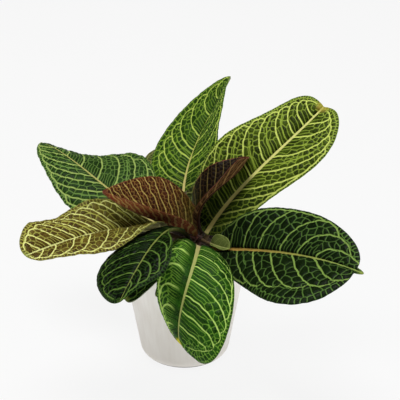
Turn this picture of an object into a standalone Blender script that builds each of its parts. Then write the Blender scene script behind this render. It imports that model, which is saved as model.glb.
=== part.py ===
"""Potted labisia: a plain white pot, its soil, one short stem and thirteen leaves.

Sizes in the leaf list are millimetres and degrees, and MM turns them into metres.
The pot stands on z = 0 with its axis on the Z axis. The plant's front faces -Y.
"""
import math

import bmesh
import bpy
import numpy as np

MM = 0.001

# Pot
POT_HEIGHT = 105.0
POT_FOOT_RADIUS = 39.3        # where the straight wall would meet the ground
POT_RIM_RADIUS = 57.3
POT_WALL = 4.0
POT_FLOOR = 5.0
POT_FOOT_ROUND = 12.0         # large round between wall and foot
POT_RIM_ROUND = 1.6
POT_SIDES = 56

# Soil
SOIL_TOP = 93.0
SOIL_GAP = 0.3
SOIL_LUMP = 1.2
SOIL_SIDES = 40
STEM_HOLE_RADIUS = 5.2
STEM_HOLE_FLOOR = 58.0

# Stem
STEM_X = 8.5                  # where it stands in the soil
STEM_LEAN = 5.0               # how far its top leans to +X
STEM_FOOT = STEM_HOLE_FLOOR + SOIL_GAP
STEM_TOP = 117.6
STEM_RINGS = [                # height, radius: thin at the crown, swollen at old leaf scars
    (STEM_FOOT, 3.6), (62.0, 4.7), (76.0, 4.8), (90.0, 4.8), (93.0, 4.4), (94.6, 4.6),
    (96.4, 4.1), (99.0, 3.9), (101.0, 3.5), (104.0, 3.2), (108.0, 3.1), (111.0, 2.9),
    (114.0, 2.8), (116.4, 2.5), (STEM_TOP, 1.9),
]
STEM_SIDES = 14
STEM_RIDGE = 0.03             # how uneven its round is, as a share of the radius
STALK_GAP = 0.25              # between a stalk's foot and the stem

# Leaves in common
BLADE_THICK = 0.8
RIB_TIP_DEPTH = 1.2
PUFF = 0.9                    # how far the skin swells between two side veins
PUFF_OUTER = 0.5              # the same nearer the margin
WAVE_COUNT = 1.4              # margin waves from the foot of a blade to its tip
ROWS = (0.45, 0.80, 1.0)      # rows of points from the midrib to the margin
TIP_COLUMNS = (0.945, 0.972, 0.988, 0.9965)

# In every pair the first value is the leaf's left half, seen from its foot.
# bearing, rise and roll: value at the root, then how it changes along the leaf.
LEAVES = {
    # upper left, blue-green, its far half twisted away toward the tip
    "leaf_upper_left": dict(
        root=(8.2, 1.3, 108), stalk=31, blade=175, stalk_radius=2,
        bearing=(160, -47, 13), rise=(14, 51, -74), roll=(-26, 42),
        width=(37, 47), crest=0.8, base_power=0.85, tip_power=0.7, skew=(0.05, 0.2),
        wave=(2, 3.5), wave_at=(0.25, 0.6), sweep=(0.25, 0.3),
        fold=(1, 30), unfold=(-16, -48), cup=(-24, -4), drip=(0, 0), veins=9),
    # top, upright, long point
    "leaf_top": dict(
        root=(11.1, 3.2, 113.5), stalk=57, blade=126, stalk_radius=2,
        bearing=(120, -105, 1), rise=(14, 64, -16), roll=(-24, 9),
        width=(44, 38), crest=0.8, base_power=0.75, tip_power=0.6, skew=(0, 0.05),
        wave=(0.5, 2), wave_at=(0.05, 0.65), sweep=(-0.1, 0.25),
        fold=(13, 18), unfold=(21, -2), cup=(-16, -13), drip=(0, 0), veins=9),
    # upper right, the largest, notched end
    "leaf_upper_right": dict(
        root=(17.5, 2, 113.5), stalk=7, blade=152, stalk_radius=2.1,
        bearing=(7, 11, 9), rise=(62, -53, 30), roll=(33, -11),
        width=(44, 38), crest=0.8, base_power=0.65, tip_power=0.35, skew=(0.1, -0.2),
        wave=(2, 0), wave_at=(-0.4, 0.25), sweep=(0.2, 0.4),
        fold=(18, 8), unfold=(1, 9), cup=(-11, -20), drip=(0, 0), veins=10),
    # right, very dark, with a drip tip
    "leaf_right": dict(
        root=(13.9, -3.2, 104), stalk=12, blade=176, stalk_radius=2,
        bearing=(-44, 6, -16), rise=(19, -7, -8), roll=(44, -15),
        width=(41, 56), crest=0.95, base_power=1, tip_power=0.5, skew=(0.05, -0.15),
        wave=(3.5, 3), wave_at=(0.15, 0.45), sweep=(0.15, 0.55),
        fold=(28, 22), unfold=(-17, -5), cup=(-5, -14), drip=(0.055, 2.2), veins=9),
    # front, hangs down before the pot
    "leaf_front": dict(
        root=(10.6, -5.4, 101.5), stalk=23, blade=122, stalk_radius=2,
        bearing=(-82, -27, -29), rise=(52, -132, -25), roll=(-18, 19),
        width=(44, 27), crest=0.9, base_power=0.95, tip_power=0.35, skew=(-0.1, 0),
        wave=(-0.5, 1), wave_at=(0, 0.55), sweep=(0.75, 0.3),
        fold=(2, 12), unfold=(5, -16), cup=(-24, -19), drip=(0, 0), veins=9),
    # lower left, dark, blunt
    "leaf_lower_left": dict(
        root=(9, -4.6, 106), stalk=33, blade=138, stalk_radius=2,
        bearing=(-114, 21, -28), rise=(62, -125, 23), roll=(10, 8),
        width=(33, 40), crest=0.9, base_power=0.75, tip_power=0.65, skew=(-0.15, -0.1),
        wave=(2.5, 0.5), wave_at=(-0.4, 0.5), sweep=(0.2, 0.75),
        fold=(12, 6), unfold=(7, 1), cup=(-19, -19), drip=(0, 0), veins=9),
    # under the lower left leaf, near edge rolled up
    "leaf_under_lower_left": dict(
        root=(6, -4.4, 98), stalk=16, blade=87, stalk_radius=1.7,
        bearing=(-121, -6, -5), rise=(39, -77, -9), roll=(-9, -15),
        width=(19, 20), crest=0.85, base_power=0.9, tip_power=0.5, skew=(0, 0),
        wave=(0.5, 1.5), wave_at=(0.25, 0.65), sweep=(0.55, 0),
        fold=(12, 4), unfold=(-18, 0), cup=(43, -14), drip=(0, 0), veins=6),
    # left, olive and brown
    "leaf_left": dict(
        root=(8.4, -1.9, 110.5), stalk=35, blade=140, stalk_radius=1.9,
        bearing=(-146, 1, 5), rise=(40, -83, 39), roll=(17, -14),
        width=(36, 34), crest=0.85, base_power=0.75, tip_power=0.55, skew=(0.05, -0.1),
        wave=(-4.5, -7), wave_at=(0.45, 1.4), sweep=(0, 0.4),
        fold=(21, 38), unfold=(-34, 2), cup=(-8, -2), drip=(0, 0), veins=9),
    # young burgundy leaf to the left, folded to a V
    "leaf_young_left": dict(
        root=(9.9, -2.1, 116), stalk=0, blade=107, stalk_radius=1.9,
        bearing=(-155, 8, -4), rise=(40, -50, 59), roll=(-15, -2),
        width=(29, 35), crest=0.8, base_power=0.6, tip_power=0.8, skew=(0, 0),
        wave=(0.5, 1), wave_at=(0.05, 0.7), sweep=(0.3, 0.2),
        fold=(50, 60), unfold=(-3, -3), cup=(-11, -5), drip=(0, 0), veins=8),
    # young dark burgundy leaf to the right, folded to a V
    "leaf_young_right": dict(
        root=(14.5, -0.3, 118.2), stalk=5, blade=86, stalk_radius=1.5,
        bearing=(-36, 59, 41), rise=(121, -233, 151), roll=(3, -12),
        width=(22, 22), crest=0.85, base_power=0.9, tip_power=0.75, skew=(0, -0.15),
        wave=(0, 3), wave_at=(0.05, 0.35), sweep=(0.25, 0.6),
        fold=(47, 40), unfold=(-1, 12), cup=(-14, -19), drip=(0, 0), veins=7),
    # small cupped new leaf at the crown
    "leaf_bud": dict(
        root=(15.8, -2.2, 114), stalk=13, blade=30, stalk_radius=1.3,
        bearing=(-56, 2, 3), rise=(4, 1, 12), roll=(29, 0),
        width=(10, 2), crest=0.95, base_power=0.45, tip_power=0.4, skew=(0.1, 0),
        wave=(0.5, 1), wave_at=(-0.05, 0.75), sweep=(0.4, 0.35),
        fold=(36, 17), unfold=(-2, 1), cup=(-19, -9), drip=(0, 0), veins=3),
    # back leaf, seen between the upper left and top leaves
    "leaf_back": dict(
        root=(10.3, 4.5, 105.5), stalk=32, blade=115, stalk_radius=1.9,
        bearing=(101, -1, 6), rise=(16, 3, -2), roll=(19, 0),
        width=(35, 27), crest=0.95, base_power=0.9, tip_power=0.65, skew=(0, 0),
        wave=(1, 0.5), wave_at=(0.1, 0.55), sweep=(0.3, 0.35),
        fold=(6, 1), unfold=(-2, -3), cup=(-18, -17), drip=(0, 0), veins=6),
    # small leaf that hides behind the front leaf
    "leaf_small_front": dict(
        root=(10, -5.5, 96.2), stalk=14, blade=72, stalk_radius=1.4,
        bearing=(-108, -7, -6), rise=(35, -70, 1), roll=(0, -1),
        width=(15, 9), crest=0.85, base_power=0.9, tip_power=0.55, skew=(-0.05, 0.1),
        wave=(0, 2), wave_at=(0, 0.65), sweep=(0.45, 0.35),
        fold=(8, 11), unfold=(-4, 0), cup=(-17, -16), drip=(0, 0), veins=5),}

COLOURS = {
    "pot": (0.62, 0.60, 0.57), "soil": (0.035, 0.022, 0.014), "stem": (0.075, 0.030, 0.022),
    "leaf_upper_left": (0.060, 0.130, 0.055), "leaf_top": (0.085, 0.170, 0.040),
    "leaf_upper_right": (0.120, 0.180, 0.045), "leaf_right": (0.020, 0.055, 0.020),
    "leaf_front": (0.045, 0.130, 0.030), "leaf_lower_left": (0.018, 0.045, 0.014),
    "leaf_under_lower_left": (0.022, 0.045, 0.020), "leaf_left": (0.170, 0.150, 0.050),
    "leaf_young_left": (0.095, 0.030, 0.020), "leaf_young_right": (0.055, 0.022, 0.018),
    "leaf_bud": (0.180, 0.230, 0.070), "leaf_back": (0.110, 0.130, 0.040),
    "leaf_small_front": (0.015, 0.035, 0.014),
}
ROUGHNESS = {"pot": 0.45, "soil": 0.95, "stem": 0.8}
LEAF_ROUGHNESS = 0.55


# The object as a mesh, with its own material
def add_part(name, points, faces, smooth=True):
    mesh = bpy.data.meshes.new(name)
    mesh.from_pydata([tuple(float(c) * MM for c in p) for p in points], [], faces)
    work = bmesh.new()
    work.from_mesh(mesh)
    bmesh.ops.recalc_face_normals(work, faces=work.faces)
    work.to_mesh(mesh)
    work.free()
    for polygon in mesh.polygons:
        polygon.use_smooth = smooth
    material = bpy.data.materials.new(name + "_material")
    material.use_nodes = True
    shader = material.node_tree.nodes["Principled BSDF"]
    shader.inputs["Base Color"].default_value = COLOURS[name] + (1.0,)
    shader.inputs["Roughness"].default_value = ROUGHNESS.get(name, LEAF_ROUGHNESS)
    mesh.materials.append(material)
    part = bpy.data.objects.new(name, mesh)
    bpy.context.scene.collection.objects.link(part)
    return part


# Faces between rings of equally many points, closed at both ends by a point
def ring_faces(count, sides, first_cap, last_cap):
    faces = []
    for i in range(count - 1):
        for j in range(sides):
            k = (j + 1) % sides
            a, b = i * sides + j, i * sides + k
            c, d = (i + 1) * sides + k, (i + 1) * sides + j
            faces += [(a, b, c), (a, c, d)]
    last = (count - 1) * sides
    for j in range(sides):
        k = (j + 1) % sides
        faces.append((first_cap, k, j))
        faces.append((last_cap, last + j, last + k))
    return faces


# Midrib curve: points and the axes along it, to the left of it and up from it
def midline(leaf, along):
    whole = leaf["stalk"] + leaf["blade"]
    steps = np.linspace(0.0, max(float(along.max()), whole) * 1.0001, 121)
    u = steps / whole
    bearing = np.radians(leaf["bearing"][0] + leaf["bearing"][1] * u + leaf["bearing"][2] * u * u)
    rise = np.radians(leaf["rise"][0] + leaf["rise"][1] * u + leaf["rise"][2] * u * u)
    roll = np.radians(leaf["roll"][0] + leaf["roll"][1] * u)
    ahead = np.stack([np.cos(rise) * np.cos(bearing), np.cos(rise) * np.sin(bearing), np.sin(rise)], -1)
    moves = (ahead[1:] + ahead[:-1]) / 2 * np.diff(steps)[:, None]
    points = np.vstack([[0.0, 0.0, 0.0], np.cumsum(moves, 0)]) + np.array(leaf["root"])
    up = np.stack([-np.sin(rise) * np.cos(bearing), -np.sin(rise) * np.sin(bearing), np.cos(rise)], -1)
    side = np.cross(up, ahead)
    left = side * np.cos(roll)[:, None] + up * np.sin(roll)[:, None]
    top = up * np.cos(roll)[:, None] - side * np.sin(roll)[:, None]

    def read(values):
        return np.stack([np.interp(along, steps, values[:, i]) for i in range(3)], -1)

    return read(points), read(left), read(top)


# Half width of the blade where a side vein starts, s = 0 at the foot and 1 at the tip
def half_width(leaf, s, half):
    drip, drip_width = leaf["drip"]
    q = np.clip(s / (1.0 - drip), 0.0, 1.0)
    power = leaf["base_power"] + (leaf["tip_power"] - leaf["base_power"]) * q
    bow = np.maximum(np.sin(np.pi * q ** leaf["crest"]), 0.0) ** power
    width = leaf["width"][half] * bow * (1.0 + leaf["skew"][half] * np.sin(2 * np.pi * q))
    if drip > 0:
        ease = np.clip((s - 1.0 + 2.0 * drip) / drip, 0.0, 1.0)
        ease = ease * ease * (3.0 - 2.0 * ease) * np.clip((1.0 - s) / drip, 0.0, 1.0)
        width = np.sqrt(width * width + drip_width * drip_width * ease)
    return width


# Top skin of one half: s picks the side vein, t runs along it from midrib to margin
def skin(leaf, s, t, half):
    shape = s.shape
    s = s.ravel()
    t = t.ravel()
    width = half_width(leaf, s, half)
    along = leaf["stalk"] + leaf["blade"] * s + leaf["sweep"][half] * width * t ** 1.4
    across = width * t
    points, left, top = midline(leaf, along)
    part_way = (along - leaf["stalk"]) / leaf["blade"]
    fold = np.radians(leaf["fold"][half] + leaf["unfold"][half] * part_way)
    bend = math.radians(leaf["cup"][half]) / np.maximum(width, 1e-6)
    out = (np.sin(fold + bend * across) - np.sin(fold)) / bend
    lift = -(np.cos(fold + bend * across) - np.cos(fold)) / bend
    wave = np.sin(2 * np.pi * (WAVE_COUNT * s + leaf["wave_at"][half]))
    lift = lift + leaf["wave"][half] * wave * (across / leaf["width"][half]) ** 2 * 1.3
    sign = 1.0 if half == 0 else -1.0
    result = points + sign * left * out[:, None] + top * lift[:, None]
    return result.reshape(shape + (3,))


def unit(values):
    return values / np.maximum(np.linalg.norm(values, axis=-1, keepdims=True), 1e-9)


# Columns of points: one on each side vein, one half way to the next, and the tip
def leaf_columns(leaf):
    veins = leaf["veins"]
    columns = [(0.014, 0.0)]
    for k in range(veins):
        here = 0.05 + 0.87 * (k / veins)
        after = 0.05 + 0.87 * ((k + 1) / veins)
        columns.append((here, 0.0))
        columns.append(((here + after) / 2, 1.0))
    columns.append((0.92, 0.0))
    columns += [(s, 0.0) for s in TIP_COLUMNS]
    return columns


def stem_centre(z):
    return STEM_X + STEM_LEAN * min(max((z - 93.0) / 22.0, 0.0), 1.0)


# The point on the stem's skin, less the gap, that lies nearest to a stalk's root
def seat_on_stem(root):
    x, y, z = root
    heights = [ring[0] for ring in STEM_RINGS]
    radii = [ring[1] for ring in STEM_RINGS]
    reach = (1.0 + STEM_RIDGE) * float(np.interp(z, heights, radii)) + STALK_GAP
    away = math.hypot(x - stem_centre(z), y)
    return (stem_centre(z) + (x - stem_centre(z)) * reach / away, y * reach / away, z)


# One leaf: rings of points round the stalk, then round the blade, closed at the tip
def make_leaf(name, leaf):
    rows = len(ROWS) + 1
    across = 2 * rows + 1
    radius = leaf["stalk_radius"]
    columns = leaf_columns(leaf)
    s = np.array([c[0] for c in columns])
    puffed = np.array([c[1] for c in columns])

    # Top skin, with a row on each shoulder of the midrib
    top_points = np.zeros((len(s), across, 3))
    puff = np.zeros((len(s), across))
    for half in (0, 1):
        width = half_width(leaf, s, half)
        rib_half = radius * (1.0 - 0.72 * s)
        t = [np.zeros(len(s)), np.minimum(rib_half / width, 0.30)]
        t += [np.full(len(s), row) for row in ROWS]
        swell = [0.0, 0.0, PUFF, PUFF_OUTER, 0.0]
        for row in range(rows + 1):
            place = rows - row if half == 0 else rows + row
            top_points[:, place] = skin(leaf, s, t[row], half)
            puff[:, place] = puffed * swell[row] * np.minimum(1.0, width / 12.0)

    # Direction out of the skin, from its neighbours in both directions
    run = np.gradient(top_points, axis=0)
    cross = np.gradient(top_points, axis=1)
    out = unit(np.cross(run, cross))
    middle, _, top = midline(leaf, leaf["stalk"] + leaf["blade"] * s)
    if float(np.sum(out[len(s) // 2, rows] * top[len(s) // 2])) < 0:
        out = -out
    out[:, rows] = top
    top_points = top_points + out * puff[..., None]

    # Underside: blade thickness, with the midrib standing out of it
    depth = np.full((len(s), across), BLADE_THICK)
    rib = 2.0 * radius + (RIB_TIP_DEPTH - 2.0 * radius) * np.minimum(1.0, s * 1.6) ** 0.7
    depth[:, rows] = rib
    for place in (rows - 1, rows + 1):
        depth[:, place] = BLADE_THICK + 0.35 * (rib - BLADE_THICK)
    under_points = top_points - out * depth[..., None]
    loops = [np.vstack([a, b[::-1]]) for a, b in zip(top_points, under_points)]

    # Stalk: round rings whose top lies on the midrib curve
    stalk_loops = []
    count = max(1, int(math.ceil(leaf["stalk"] / 11.0)))
    stations = np.array([leaf["stalk"] * k / count for k in range(count)])
    points, left, up = midline(leaf, stations)
    angles = np.radians(np.linspace(170.0, 10.0, across))
    angles = np.concatenate([angles, np.radians(np.linspace(-10.0, -170.0, across))])
    for k in range(count):
        centre = points[k] - up[k] * radius
        stalk_loops.append(np.array([centre + left[k] * radius * -math.cos(a) + up[k] * radius * math.sin(a)
                                     for a in angles]))
    loops = stalk_loops + loops

    start = seat_on_stem(points[0] - up[0] * radius)
    end_point, _, end_top = midline(leaf, np.array([leaf["stalk"] + leaf["blade"]]))
    tip = end_point[0] - end_top[0] * RIB_TIP_DEPTH / 2
    sides = 2 * across
    vertices = [p for loop in loops for p in loop]
    faces = leaf_faces(len(loops), across, len(vertices), len(vertices) + 1)
    return add_part(name, vertices + [start, tip], faces)


# The same diagonals on the top and the underside of the blade
def leaf_faces(count, across, first_cap, last_cap):
    sides = 2 * across
    middle = across // 2
    faces = []
    for i in range(count - 1):
        for j in range(sides):
            k = (j + 1) % sides
            a, b = i * sides + j, i * sides + k
            d, c = (i + 1) * sides + j, (i + 1) * sides + k
            on_top = j < across - 1
            below = across <= j < sides - 1
            place = j if on_top else sides - 2 - j
            toward_margin = place < middle
            if below:
                toward_margin = not toward_margin
            if toward_margin or not (on_top or below):
                faces += [(a, b, d), (b, c, d)]
            else:
                faces += [(a, b, c), (a, c, d)]
    last = (count - 1) * sides
    for j in range(sides):
        k = (j + 1) % sides
        faces.append((first_cap, k, j))
        faces.append((last_cap, last + j, last + k))
    return faces


# Pot: one turned shell with a flat foot, a large foot round and a rounded rim
def make_pot():
    slope = math.atan2(POT_RIM_RADIUS - POT_FOOT_RADIUS, POT_HEIGHT)
    turn = POT_FOOT_RADIUS + POT_FOOT_ROUND * math.tan(slope) - POT_FOOT_ROUND / math.cos(slope)
    profile = [(turn * 0.5, 0.0)]
    for k in range(7):
        a = -math.pi / 2 + (math.pi / 2 - slope) * k / 6
        profile.append((turn + POT_FOOT_ROUND * math.cos(a), POT_FOOT_ROUND + POT_FOOT_ROUND * math.sin(a)))

    def wall(z):
        return POT_FOOT_RADIUS + z * math.tan(slope)

    profile += [(wall(z), z) for z in (40.0, 72.0)]
    edge = POT_RIM_ROUND
    for k in range(4):
        a = math.pi / 2 * k / 3
        profile.append((wall(POT_HEIGHT) - edge + edge * math.cos(a), POT_HEIGHT - edge + edge * math.sin(a)))
    inner = wall(POT_HEIGHT) - POT_WALL
    for k in range(4):
        a = math.pi / 2 * (1 - k / 3)
        profile.append((inner + edge - edge * math.cos(a), POT_HEIGHT - edge + edge * math.sin(a)))
    profile += [(wall(z) - POT_WALL, z) for z in (72.0, 40.0)]
    inner_round = POT_FOOT_ROUND - POT_WALL
    for k in range(4):
        a = -slope - (math.pi / 2 - slope) * k / 3
        profile.append((turn + inner_round * math.cos(a), POT_FLOOR + inner_round + inner_round * math.sin(a)))
    profile.append((turn * 0.5, POT_FLOOR))
    points = []
    for r, z in profile:
        for j in range(POT_SIDES):
            a = 2 * math.pi * j / POT_SIDES
            points.append((r * math.cos(a), r * math.sin(a), z))
    count = len(points)
    faces = ring_faces(len(profile), POT_SIDES, count, count + 1)
    add_part("pot", points + [(0.0, 0.0, 0.0), (0.0, 0.0, POT_FLOOR)], faces)


# Soil: a plug that fills the pot, lumpy on top, with a plain hole for the stem
def make_soil():
    slope = math.atan2(POT_RIM_RADIUS - POT_FOOT_RADIUS, POT_HEIGHT)
    spare = POT_WALL + SOIL_GAP

    def inner(z):
        return POT_FOOT_RADIUS + z * math.tan(slope) - spare

    def lump(x, y):
        rough = math.sin(0.31 * x + 0.8) * math.cos(0.27 * y - 0.4) + 0.6 * math.sin(0.55 * x - 0.49 * y)
        return SOIL_LUMP * rough

    turn = POT_FOOT_RADIUS + POT_FOOT_ROUND * math.tan(slope) - POT_FOOT_ROUND / math.cos(slope)
    corner = POT_FOOT_ROUND - POT_WALL
    low = POT_FLOOR + SOIL_GAP
    rings = [("out", turn * 0.5, low)]
    for k in range(4):
        a = -math.pi / 2 + (math.pi / 2 - slope) * k / 3
        r = turn + (corner - SOIL_GAP - 0.1) * math.cos(a)
        rings.append(("out", r, POT_FLOOR + corner + (corner - SOIL_GAP) * math.sin(a)))
    rings += [("out", inner(z), z) for z in (40.0, 72.0)]
    rings.append(("out", inner(SOIL_TOP), SOIL_TOP))
    rings += [("top", f, SOIL_TOP) for f in (0.12, 0.34, 0.56, 0.78, 0.93)]
    rings += [("hole", STEM_HOLE_RADIUS, SOIL_TOP), ("hole", STEM_HOLE_RADIUS, STEM_HOLE_FLOOR)]
    points = []
    for kind, value, z in rings:
        for j in range(SOIL_SIDES):
            a = 2 * math.pi * j / SOIL_SIDES
            hole = (STEM_X + STEM_HOLE_RADIUS * math.cos(a), STEM_HOLE_RADIUS * math.sin(a))
            if kind == "out":
                points.append((value * math.cos(a), value * math.sin(a), z))
            elif kind == "hole":
                points.append((hole[0], hole[1], z))
            else:
                r = inner(SOIL_TOP)
                x = r * math.cos(a) * (1 - value) + hole[0] * value
                y = r * math.sin(a) * (1 - value) + hole[1] * value
                points.append((x, y, z + lump(x, y)))
    count = len(points)
    faces = ring_faces(len(rings), SOIL_SIDES, count, count + 1)
    add_part("soil", points + [(0.0, 0.0, low), (STEM_X, 0.0, STEM_HOLE_FLOOR)], faces)


# Stem: short and knobbly, upright in the soil and leaning a little above it
def make_stem():
    points = []
    for z, radius in STEM_RINGS:
        for j in range(STEM_SIDES):
            a = 2 * math.pi * j / STEM_SIDES
            r = radius * (1.0 + STEM_RIDGE * math.sin(3 * a + z * 0.7))
            points.append((stem_centre(z) + r * math.cos(a), r * math.sin(a), z))
    count = len(points)
    faces = ring_faces(len(STEM_RINGS), STEM_SIDES, count, count + 1)
    ends = [(stem_centre(STEM_FOOT), 0.0, STEM_FOOT), (stem_centre(STEM_TOP), 0.0, STEM_TOP + 0.1)]
    add_part("stem", points + ends, faces)


for old in list(bpy.data.objects):
    bpy.data.objects.remove(old, do_unlink=True)

make_pot()
make_soil()
make_stem()
for leaf_name, leaf_values in LEAVES.items():
    make_leaf(leaf_name, leaf_values)
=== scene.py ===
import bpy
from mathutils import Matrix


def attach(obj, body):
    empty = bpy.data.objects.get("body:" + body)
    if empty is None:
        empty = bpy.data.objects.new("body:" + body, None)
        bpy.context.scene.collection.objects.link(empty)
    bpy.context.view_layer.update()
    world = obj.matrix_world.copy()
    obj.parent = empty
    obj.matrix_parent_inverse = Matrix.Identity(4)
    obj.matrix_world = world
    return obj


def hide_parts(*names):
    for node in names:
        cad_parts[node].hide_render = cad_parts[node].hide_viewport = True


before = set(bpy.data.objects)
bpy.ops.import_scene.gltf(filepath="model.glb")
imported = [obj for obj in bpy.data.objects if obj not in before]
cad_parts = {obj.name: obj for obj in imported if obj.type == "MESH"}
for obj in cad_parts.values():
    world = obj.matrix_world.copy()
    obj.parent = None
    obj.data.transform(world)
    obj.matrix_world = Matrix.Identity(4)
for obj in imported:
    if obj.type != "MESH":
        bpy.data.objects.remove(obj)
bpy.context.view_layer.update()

import math

import bpy
import numpy as np
from mathutils import Vector


# Pot: one plain pot of earthenware, turned and dipped in a matte off-white slip, fired once.
# Its wall leans out from a foot with a large round, up to a thin and softly rounded rim.
MM = 0.001                    # sizes are in millimetres, points are scaled as a mesh is made
POT_HEIGHT = 105.0
POT_FOOT_RADIUS = 39.3        # where the straight wall would meet the table
POT_RIM_RADIUS = 57.3
POT_WALL = 4.0
POT_FLOOR = 5.0
POT_FOOT_ROUND = 12.0         # large round between the foot and the wall
POT_RIM_ROUND = 1.6
POT_STRAIGHT = (16.0, 100.0)  # lowest and highest ring of the straight wall
POT_SIDES = 160
POT_SLOPE = math.atan2(POT_RIM_RADIUS - POT_FOOT_RADIUS, POT_HEIGHT)
# Radius of the flat foot, out to where its round starts
POT_TURN = POT_FOOT_RADIUS + POT_FOOT_ROUND * (math.tan(POT_SLOPE) - 1.0 / math.cos(POT_SLOPE))


def linear(hex_colour):
    """sRGB hex to the linear colour that a socket takes"""
    values = [int(hex_colour[i:i + 2], 16) / 255.0 for i in (1, 3, 5)]
    return [v / 12.92 if v <= 0.04045 else ((v + 0.055) / 1.055) ** 2.4 for v in values] + [1.0]


def set_inputs(tree, node, inputs):
    """Give a node's inputs what they take: another node's output, a hex colour or a value"""
    for key, value in inputs.items():
        if isinstance(value, bpy.types.NodeSocket):
            tree.links.new(value, node.inputs[key])
        else:
            node.inputs[key].default_value = linear(value) if isinstance(value, str) else value


def add_node(tree, kind, inputs=None, **settings):
    """A node with its settings, and with what its inputs take"""
    node = tree.nodes.new(kind)
    for key, value in settings.items():
        setattr(node, key, value)
    set_inputs(tree, node, inputs or {})
    return node


def new_material(name):
    """An empty Principled material: the material, its node tree and its shader"""
    material = bpy.data.materials.new(name)
    material.use_nodes = True
    return material, material.node_tree, material.node_tree.nodes["Principled BSDF"]


def add_piece(name, points, faces, materials, values=None, picks=None):
    """A smooth mesh from points in mm; values are kept on its points, picks choose materials"""
    mesh = bpy.data.meshes.new(name)
    mesh.from_pydata((np.asarray(points) * MM).tolist(), [], faces)
    mesh.polygons.foreach_set("use_smooth", [True] * len(mesh.polygons))
    for key, array in (values or {}).items():
        kind, slot = ("FLOAT_VECTOR", "vector") if array.ndim == 2 else ("FLOAT", "value")
        layer = mesh.attributes.new(key, kind, "POINT")
        layer.data.foreach_set(slot, array.astype(np.float32).ravel())
    for material in materials:
        mesh.materials.append(material)
    if picks is not None:
        mesh.polygons.foreach_set("material_index", picks)
    mesh.update()
    piece = bpy.data.objects.new(name, mesh)
    bpy.context.scene.collection.objects.link(piece)
    return piece


def turned_faces(rings, sides, first_cap, last_cap):
    """Faces between rings of equally many points, closed at both ends by a point"""
    faces = []
    for i in range(rings - 1):
        for j in range(sides):
            k = (j + 1) % sides
            faces.append((i * sides + j, i * sides + k, (i + 1) * sides + k, (i + 1) * sides + j))
    last = (rings - 1) * sides
    for j in range(sides):
        k = (j + 1) % sides
        faces.append((first_cap, k, j))
        faces.append((last_cap, last + j, last + k))
    return faces


def arc(centre, radius, start, end, steps):
    """Points of an arc in the pot's profile, angles in degrees"""
    angles = np.radians(np.linspace(start, end, steps))
    return [(centre[0] + radius * math.cos(a), centre[1] + radius * math.sin(a)) for a in angles]


def wall_radius(z):
    """Radius of the pot's outer wall at a height"""
    return POT_FOOT_RADIUS + z * math.tan(POT_SLOPE)


def pot_profile():
    """From the middle of the foot up the outside, over the rim and down to the floor inside"""
    lean = math.degrees(POT_SLOPE)
    rim_centre = POT_HEIGHT - POT_RIM_ROUND
    outer = wall_radius(POT_HEIGHT)
    bottom, top = POT_STRAIGHT
    inner_round = POT_FOOT_ROUND - POT_WALL
    profile = [(POT_TURN * share, 0.0) for share in (0.3, 0.7)]
    profile += arc((POT_TURN, POT_FOOT_ROUND), POT_FOOT_ROUND, -90, -lean, 14)
    profile += [(wall_radius(z), z) for z in np.linspace(bottom, top, 22)]
    profile += arc((outer - POT_RIM_ROUND, rim_centre), POT_RIM_ROUND, 0, 90, 7)
    profile += arc((outer - POT_WALL + POT_RIM_ROUND, rim_centre), POT_RIM_ROUND, 90, 180, 7)
    profile += [(wall_radius(z) - POT_WALL, z) for z in np.linspace(top, bottom, 14)]
    profile += arc((POT_TURN, POT_FLOOR + inner_round), inner_round, -lean, -90, 8)
    profile.append((POT_TURN * 0.4, POT_FLOOR))
    return profile


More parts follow.
